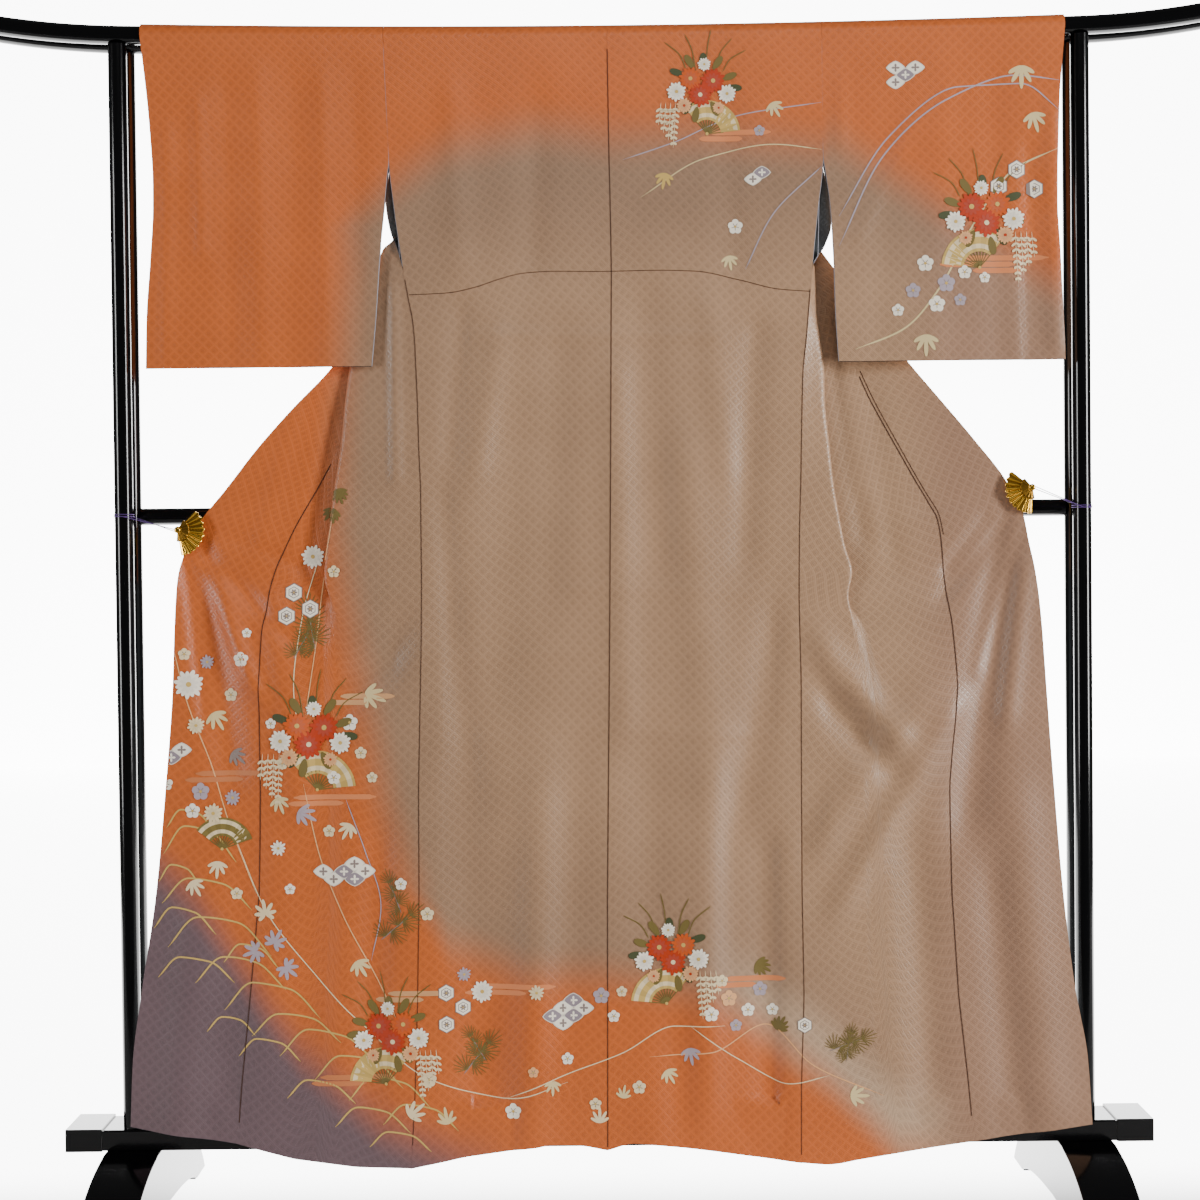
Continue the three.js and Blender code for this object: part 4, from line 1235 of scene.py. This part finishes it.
# Left front, from the waist to the knee.
scatter(
    grass,
    ([(-392, 1052), (-408, 960), (-420, 860), (-436, 760)], PEACH, 1.6),
    ([(-412, 1000), (-440, 900), (-452, 800), (-440, 700)], CREAM, 1.4),
)
scatter(
    spray,
    (-392, 1060, -110, 26, OLIVE, 7), (-386, 1088, -70, 24, OLIVE, 7), (-350, 790, -20, 34, PALE_GOLD),
)
chrysanthemum(-424, 990, 18, WHITE)
scatter(plum, (-392, 968, 9, CREAM), (-372, 748, 12, WHITE), (-356, 704, 9, CREAM))
scatter(hexagon, (-452, 938, 14), (-428, 914, 14), (-462, 904, 14))
scatter(pine, (-420, 850, 100, 62), (-452, 842, 60, 48))
bouquet(-428, 728, 0.92, -1)
scatter(mist, (-408, 640, (120, 80)), (-360, 786, (80, 54), PEACH * 0.8))

# Left overlap panel.
grass([(-630, 870), (-608, 780), (-575, 690), (-548, 600), (-512, 500)], PEACH, 1.8)
scatter(
    chrysanthemum,
    (-606, 806, 22, WHITE), (-580, 838, 11, LILAC, 11), (-572, 618, 15, CREAM, 13),
    (-544, 640, 12, LILAC, 11), (-596, 746, 13, CREAM, 13), (-478, 566, 12, WHITE, 11),
)
scatter(
    plum,
    (-612, 850, 9, CREAM), (-528, 842, 11, WHITE), (-545, 790, 10, CREAM), (-520, 880, 7, WHITE),
    (-590, 650, 13, LILAC), (-602, 622, 11, WHITE), (-640, 662, 10, WHITE), (-540, 500, 9, CREAM),
    (-462, 506, 8, WHITE), (-396, 668, 10, WHITE), (-470, 690, 9, CREAM), (-486, 748, 8, WHITE),
    (-340, 668, 8, CREAM), (-404, 590, 9, CREAM),
)
scatter(
    spray,
    (-572, 764, -60, 30, PALE_GOLD), (-545, 706, -40, 26, STONE), (-566, 548, -95, 26, CREAM),
    (-604, 520, -60, 26, CREAM), (-372, 600, -120, 26, CREAM), (-478, 640, -70, 26, PALE_GOLD),
)
tiles(-632, 700, 15, [(0, 0, True), (1, 0, False)])
folding_fan(-560, 566, 46, 80, OLIVE * 1.3)
mist(-556, 676, (110, 84), MIST * 0.8)

# Left front and back, from the knee to the hem.
scatter(
    grass,
    ([(-440, 660), (-420, 560), (-386, 470), (-330, 360), (-302, 300)], PEACH, 1.8),
    (
        [(-548, 600), (-500, 480), (-420, 372), (-352, 300), (-260, 226), (-150, 196), (-60, 220)],
        CREAM, 1.6,
    ),
    ([(-380, 640), (-352, 560), (-330, 480), (-345, 400)], LILAC, 1.5),
)
tiles(
    -398, 520, 15,
    [(0, 0, False), (1, 0, True), (0, 1, False), (2, 0, False), (1, -1, True), (2, -1, False)],
)
scatter(
    spray,
    (-448, 620, -30, 30, LILAC), (-498, 470, 100, 22, CREAM, 7, 250, 0.3),
    (-486, 428, 60, 22, LILAC, 7, 250, 0.3), (-512, 416, 200, 22, LILAC, 7, 250, 0.3),
    (-470, 392, -40, 22, LILAC, 7, 250, 0.3), (-366, 400, -60, 28, PALE_GOLD),
    (-292, 172, 40, 30, CREAM), (-236, 160, 100, 26, PALE_GOLD),
)
scatter(pine, (-330, 430, 40, 56), (-300, 470, 110, 46), (-212, 232, 50, 56), (-180, 250, 120, 42))
scatter(
    plum,
    (-262, 468, 10, CREAM), (-300, 512, 9, WHITE), (-262, 226, 11, CREAM), (-140, 178, 12, WHITE),
)
bouquet(-318, 292, 0.86, 1, OLIVE)
scatter(hexagon, (-236, 352, 13), (-212, 330, 13), (-236, 306, 13))
scatter(chrysanthemum, (-184, 352, 17, WHITE), (-210, 378, 11, LILAC, 11))
scatter(
    mist,
    (-150, 360, (120, 90), MIST), (-290, 352, (90, 70), PEACH * 0.75),
    (-380, 230, (110, 80), MIST * 0.8),
)

# Hem of the back.
scatter(
    grass,
    ([(-150, 196), (-60, 232), (20, 262), (96, 300), (170, 300)], CREAM, 1.5),
    ([(60, 256), (150, 262), (230, 300), (300, 240), (400, 196)], PEACH, 1.6),
    ([(120, 300), (190, 250), (262, 214), (322, 226)], CREAM, 1.4),
)
tiles(
    -66, 306, 15,
    [(0, 0, False), (1, 0, True), (1, 1, False), (2, 0, False), (2, 1, True), (0, 1, True)],
)
bouquet(92, 404, 0.84, 1)
scatter(
    plum,
    (-10, 346, 12, LILAC), (8, 316, 9, WHITE), (-20, 188, 9, CREAM), (-60, 254, 9, WHITE),
    (44, 212, 10, CREAM), (-110, 236, 8, PEACH), (20, 352, 8, CREAM), (150, 318, 11, WHITE),
    (176, 340, 12, PEACH), (204, 322, 10, WHITE), (222, 352, 11, LILAC), (186, 300, 9, LILAC),
    (240, 322, 9, WHITE), (166, 366, 9, CREAM),
)
chrysanthemum(-104, 352, 12, CREAM, 11)
scatter(
    spray,
    (84, 236, -60, 24, PALE_GOLD), (-82, 222, -90, 22, PALE_GOLD), (118, 268, -80, 26, LILAC),
    (216, 390, -30, 26, OLIVE, 7), (246, 292, 60, 24, OLIVE, 7), (352, 196, 0, 28, PALE_GOLD),
    (-14, 160, 90, 24, CREAM), (20, 196, 80, 20, PALE_GOLD),
)
mist(200, 368, (90, 60), MIST)
scatter(pine, (322, 262, 20, 50), (346, 246, 80, 40))
hexagon(286, 300, 12)

# Gold grasses over the purple corner.
for x, z, length, rise in (
    (-640, 598, 70, 26), (-645, 560, 105, 40), (-652, 520, 60, 24), (-648, 488, 130, 36),
    (-660, 452, 90, 30), (-640, 424, 150, 44), (-655, 380, 110, 30), (-600, 372, 130, 36),
    (-560, 330, 140, 40), (-520, 292, 130, 32), (-480, 262, 140, 38), (-540, 262, 90, 26),
    (-430, 226, 130, 36), (-470, 200, 100, 26), (-380, 196, 120, 34), (-400, 158, 110, 28),
    (-330, 160, 110, 30), (-350, 128, 90, 22), (-560, 400, 80, 26), (-585, 300, 70, 20),
):
    bend = [(0, 0), (0.3, 1), (0.68, 0.75), (1, -0.35)]
    grass([(x + length * across, z + rise * up) for across, up in bend], GOLD, 2.4)
art.finish("silk_flowers", FLOWERS)

# Seams: the thin dark lines where panels meet.
seams = Applique()


def seam(line, width=1.0):
    seams.ribbon(line, width, SEAM, taper=False)


heights = np.arange(120, 1741, 40)
seam([(read(BACK, 3, z), z) for z in heights[::-1]], 1.2)
seam([
    (-278, 1368), (-226, 1370), (-186, 1377), (-145, 1390), (-110, 1398), (-70, 1400), (5, 1399),
    (73, 1400), (137, 1398), (200, 1385), (257, 1371), (304, 1367),
])
for side, sign in SIGN.items():
    low = 130 if side == "left" else 110
    heights = np.arange(low, 1400, 30)
    seam([(sign * (read(FRONTS[side], 1, z) - 0.4), z) for z in heights])
    top = 1130 if side == "left" else 1255
    heights = np.arange(165, top, 30)
    seam([(sign * read(FRONTS[side], 4, z), z) for z in heights], 1.4)
heights = np.arange(1013, 1255, 30)
seam([(read(FRONTS["right"], 4, z) + 5, z) for z in heights])
seams.finish("silk_seams", EDGING)

# ---- Clips and threads ----

# Each clip's place, the height where its thread is tied, and the way its fan opens.
CLIPS = {
    "left": (-619, -38, 1031, 1053, -18),
    "right": (624, -38, 1080, 1052, 206),
}
# Name, finish, depth, wall, radius, root, sweep in degrees, flutes and their relief.
SHELLS = [
    ("fan", GILT, -3.6, 1.1, 38, 6.5, 128, 10, 1.3),
    ("shell", GILT_DARK, -6.2, 0.9, 17, 5, 150, 8, 0.7),
    ("jaw", GILT, 10, 1.6, 26, 6.5, 80, 4, 0.1),
]
# The pivot's radius and depth along its axis.
KNOB = [
    (1, -8.4), (3, -8.1), (4.6, -7), (5, -5.5), (4.4, -4.4), (3.6, -3.6), (3.6, 9), (5, 9.6),
    (5, 11), (2, 11.4),
]
THREAD_RADIUS = 0.6


def fan_grid(centre, aim, radius, root, sweep, flutes, relief):
    """A pleated shell, open towards "aim", in a plane facing the eye."""
    lines = []
    for share in (0, 0.5, 1):
        line = []
        for i in range(2 * flutes + 1):
            turn = math.radians(aim + sweep * (i / (2 * flutes) - 0.5))
            crest = 1 if i % 2 else -1
            reach = root + (radius - root) * share + crest * share * radius / 38
            y = crest * relief * (0.3 + 0.7 * share)
            line.append(np.add(centre, (reach * math.cos(turn), y, reach * math.sin(turn))))
        lines.append(line)
    return refine(np.array(lines), 1.6)[0]


def turned(centre, profile, sides=28):
    """A round knob on an axis along Y, from (radius, y) pairs."""
    points = []
    for radius, y in profile:
        for turn in round_about(sides):
            points.append(np.add(centre, (radius * math.cos(turn), y, radius * math.sin(turn))))
    faces = []
    for i in range(len(profile) - 1):
        for j in range(sides):
            k = (j + 1) % sides
            faces.append([i * sides + j, (i + 1) * sides + j, (i + 1) * sides + k, i * sides + k])
    faces += [list(range(sides)), [(len(profile) - 1) * sides + j for j in range(sides)][::-1]]
    return np.array(points), faces


for side, (x, y, z, tied, aim) in CLIPS.items():
    sign = SIGN[side]
    for name, finish, depth, thickness, *form in SHELLS:
        points, faces, _ = wall(fan_grid((x, y + depth, z), aim, *form), thickness)
        nodes = () if name == "shell" else (f"clip_{name}_{side}",)
        add_mesh(f"gilt_{name}_{side}", points, faces, finish, nodes)
    points, faces = turned((x, y, z), KNOB)
    add_mesh("gilt_pivot_" + side, points, faces, GILT, ("clip_pivot_" + side,), sharp=50)

    around = TUBE_RADIUS + 0.9

    def by_post(turn, height):
        return (sign * (POST_X + around * math.cos(turn)), -ARCH_Y + around * math.sin(turn), height)

    start = sign * (abs(x) + 5.9)
    path = [(start, y - 2, z + 1)]
    path += [by_post(math.radians(turn), tied + turn / 60) for turn in range(-90, 91, 15)]
    path = np.array(path + [(start, y + 4, z - 2)])
    strands = [tube(glide(path, stations_for(path, 4)), THREAD_RADIUS, 8)]
    for rise in (-1.6, 1.5):
        ring = [by_post(turn, tied + rise) for turn in np.linspace(0, 2 * math.pi, 33)]
        strands.append(tube(ring, THREAD_RADIUS, 8))
    points, faces = joined(strands)
    add_mesh(f"thread_{side}_wound", points, faces, THREAD, ("thread_" + side,))

# ---- Studio ----


STAGE_GLOW = 9


def stage_plane(name, corners):
    """A white plane; it glows from nothing in front of the stand to full strength behind it."""
    mesh = bpy.data.meshes.new(name)
    mesh.from_pydata(corners, [], [[0, 1, 2, 3]])
    shader = Shader(name + "_white", Base_Color=(0.6, 0.6, 0.6, 1), Roughness=0.9)
    place = shader.node("ShaderNodeTexCoord")
    split = shader.node("ShaderNodeSeparateXYZ")
    shader.link(place.outputs["Object"], split.inputs[0])
    glow = shader.ramp(split.outputs[1], -0.1, 0.3, 0, STAGE_GLOW)
    shader.link(glow, shader.surface.inputs["Emission Strength"])
    shader.surface.inputs["Emission Color"].default_value = (1, 1, 1, 1)
    mesh.materials.append(shader.material)
    plane = bpy.data.objects.new(name, mesh)
    bpy.context.scene.collection.objects.link(plane)


stage_plane("backdrop", [(-3.4, 7, -0.01), (3.4, 7, -0.01), (3.4, 7, 4.6), (-3.4, 7, 4.6)])
stage_plane("floor", [(-3.4, -1.2, 0), (3.4, -1.2, 0), (3.4, 7, 0), (-3.4, 7, 0)])


def softbox(name, place, width, height, power):
    """A soft lamp that faces the middle of the kimono."""
    light = bpy.data.lights.new(name, "AREA")
    light.shape = "RECTANGLE"
    light.size = width
    light.size_y = height
    light.energy = power
    lamp = bpy.data.objects.new(name, light)
    bpy.context.scene.collection.objects.link(lamp)
    lamp.location = place
    lamp.rotation_euler = (Vector((0, 0, 0.9)) - Vector(place)).to_track_quat("-Z", "Y").to_euler()


softbox("key_left", (-5.2, -2.6, 1.3), 1.2, 2.6, 190)
softbox("key_right", (5.1, -2.7, 1.5), 1.2, 2.6, 430)
softbox("overhead", (0.2, -2.6, 3.0), 1.4, 0.7, 16)

world = bpy.data.worlds.new("studio")
world.use_nodes = True
world.node_tree.nodes["Background"].inputs["Color"].default_value = (1, 1, 1, 1)
world.node_tree.nodes["Background"].inputs["Strength"].default_value = 0.1
bpy.context.scene.world = world

camera_data = bpy.data.cameras.new("camera")
camera_data.lens = 61.6
camera_data.sensor_width = 36
camera = bpy.data.objects.new("camera", camera_data)
bpy.context.scene.collection.objects.link(camera)
tilt = Matrix.Rotation(math.radians(90 - 1.1), 4, "X")
roll = Matrix.Rotation(math.radians(-0.6), 4, "Z")
camera.matrix_world = Matrix.Translation((-0.0058, -3.03, 0.98)) @ tilt @ roll
bpy.context.scene.camera = camera
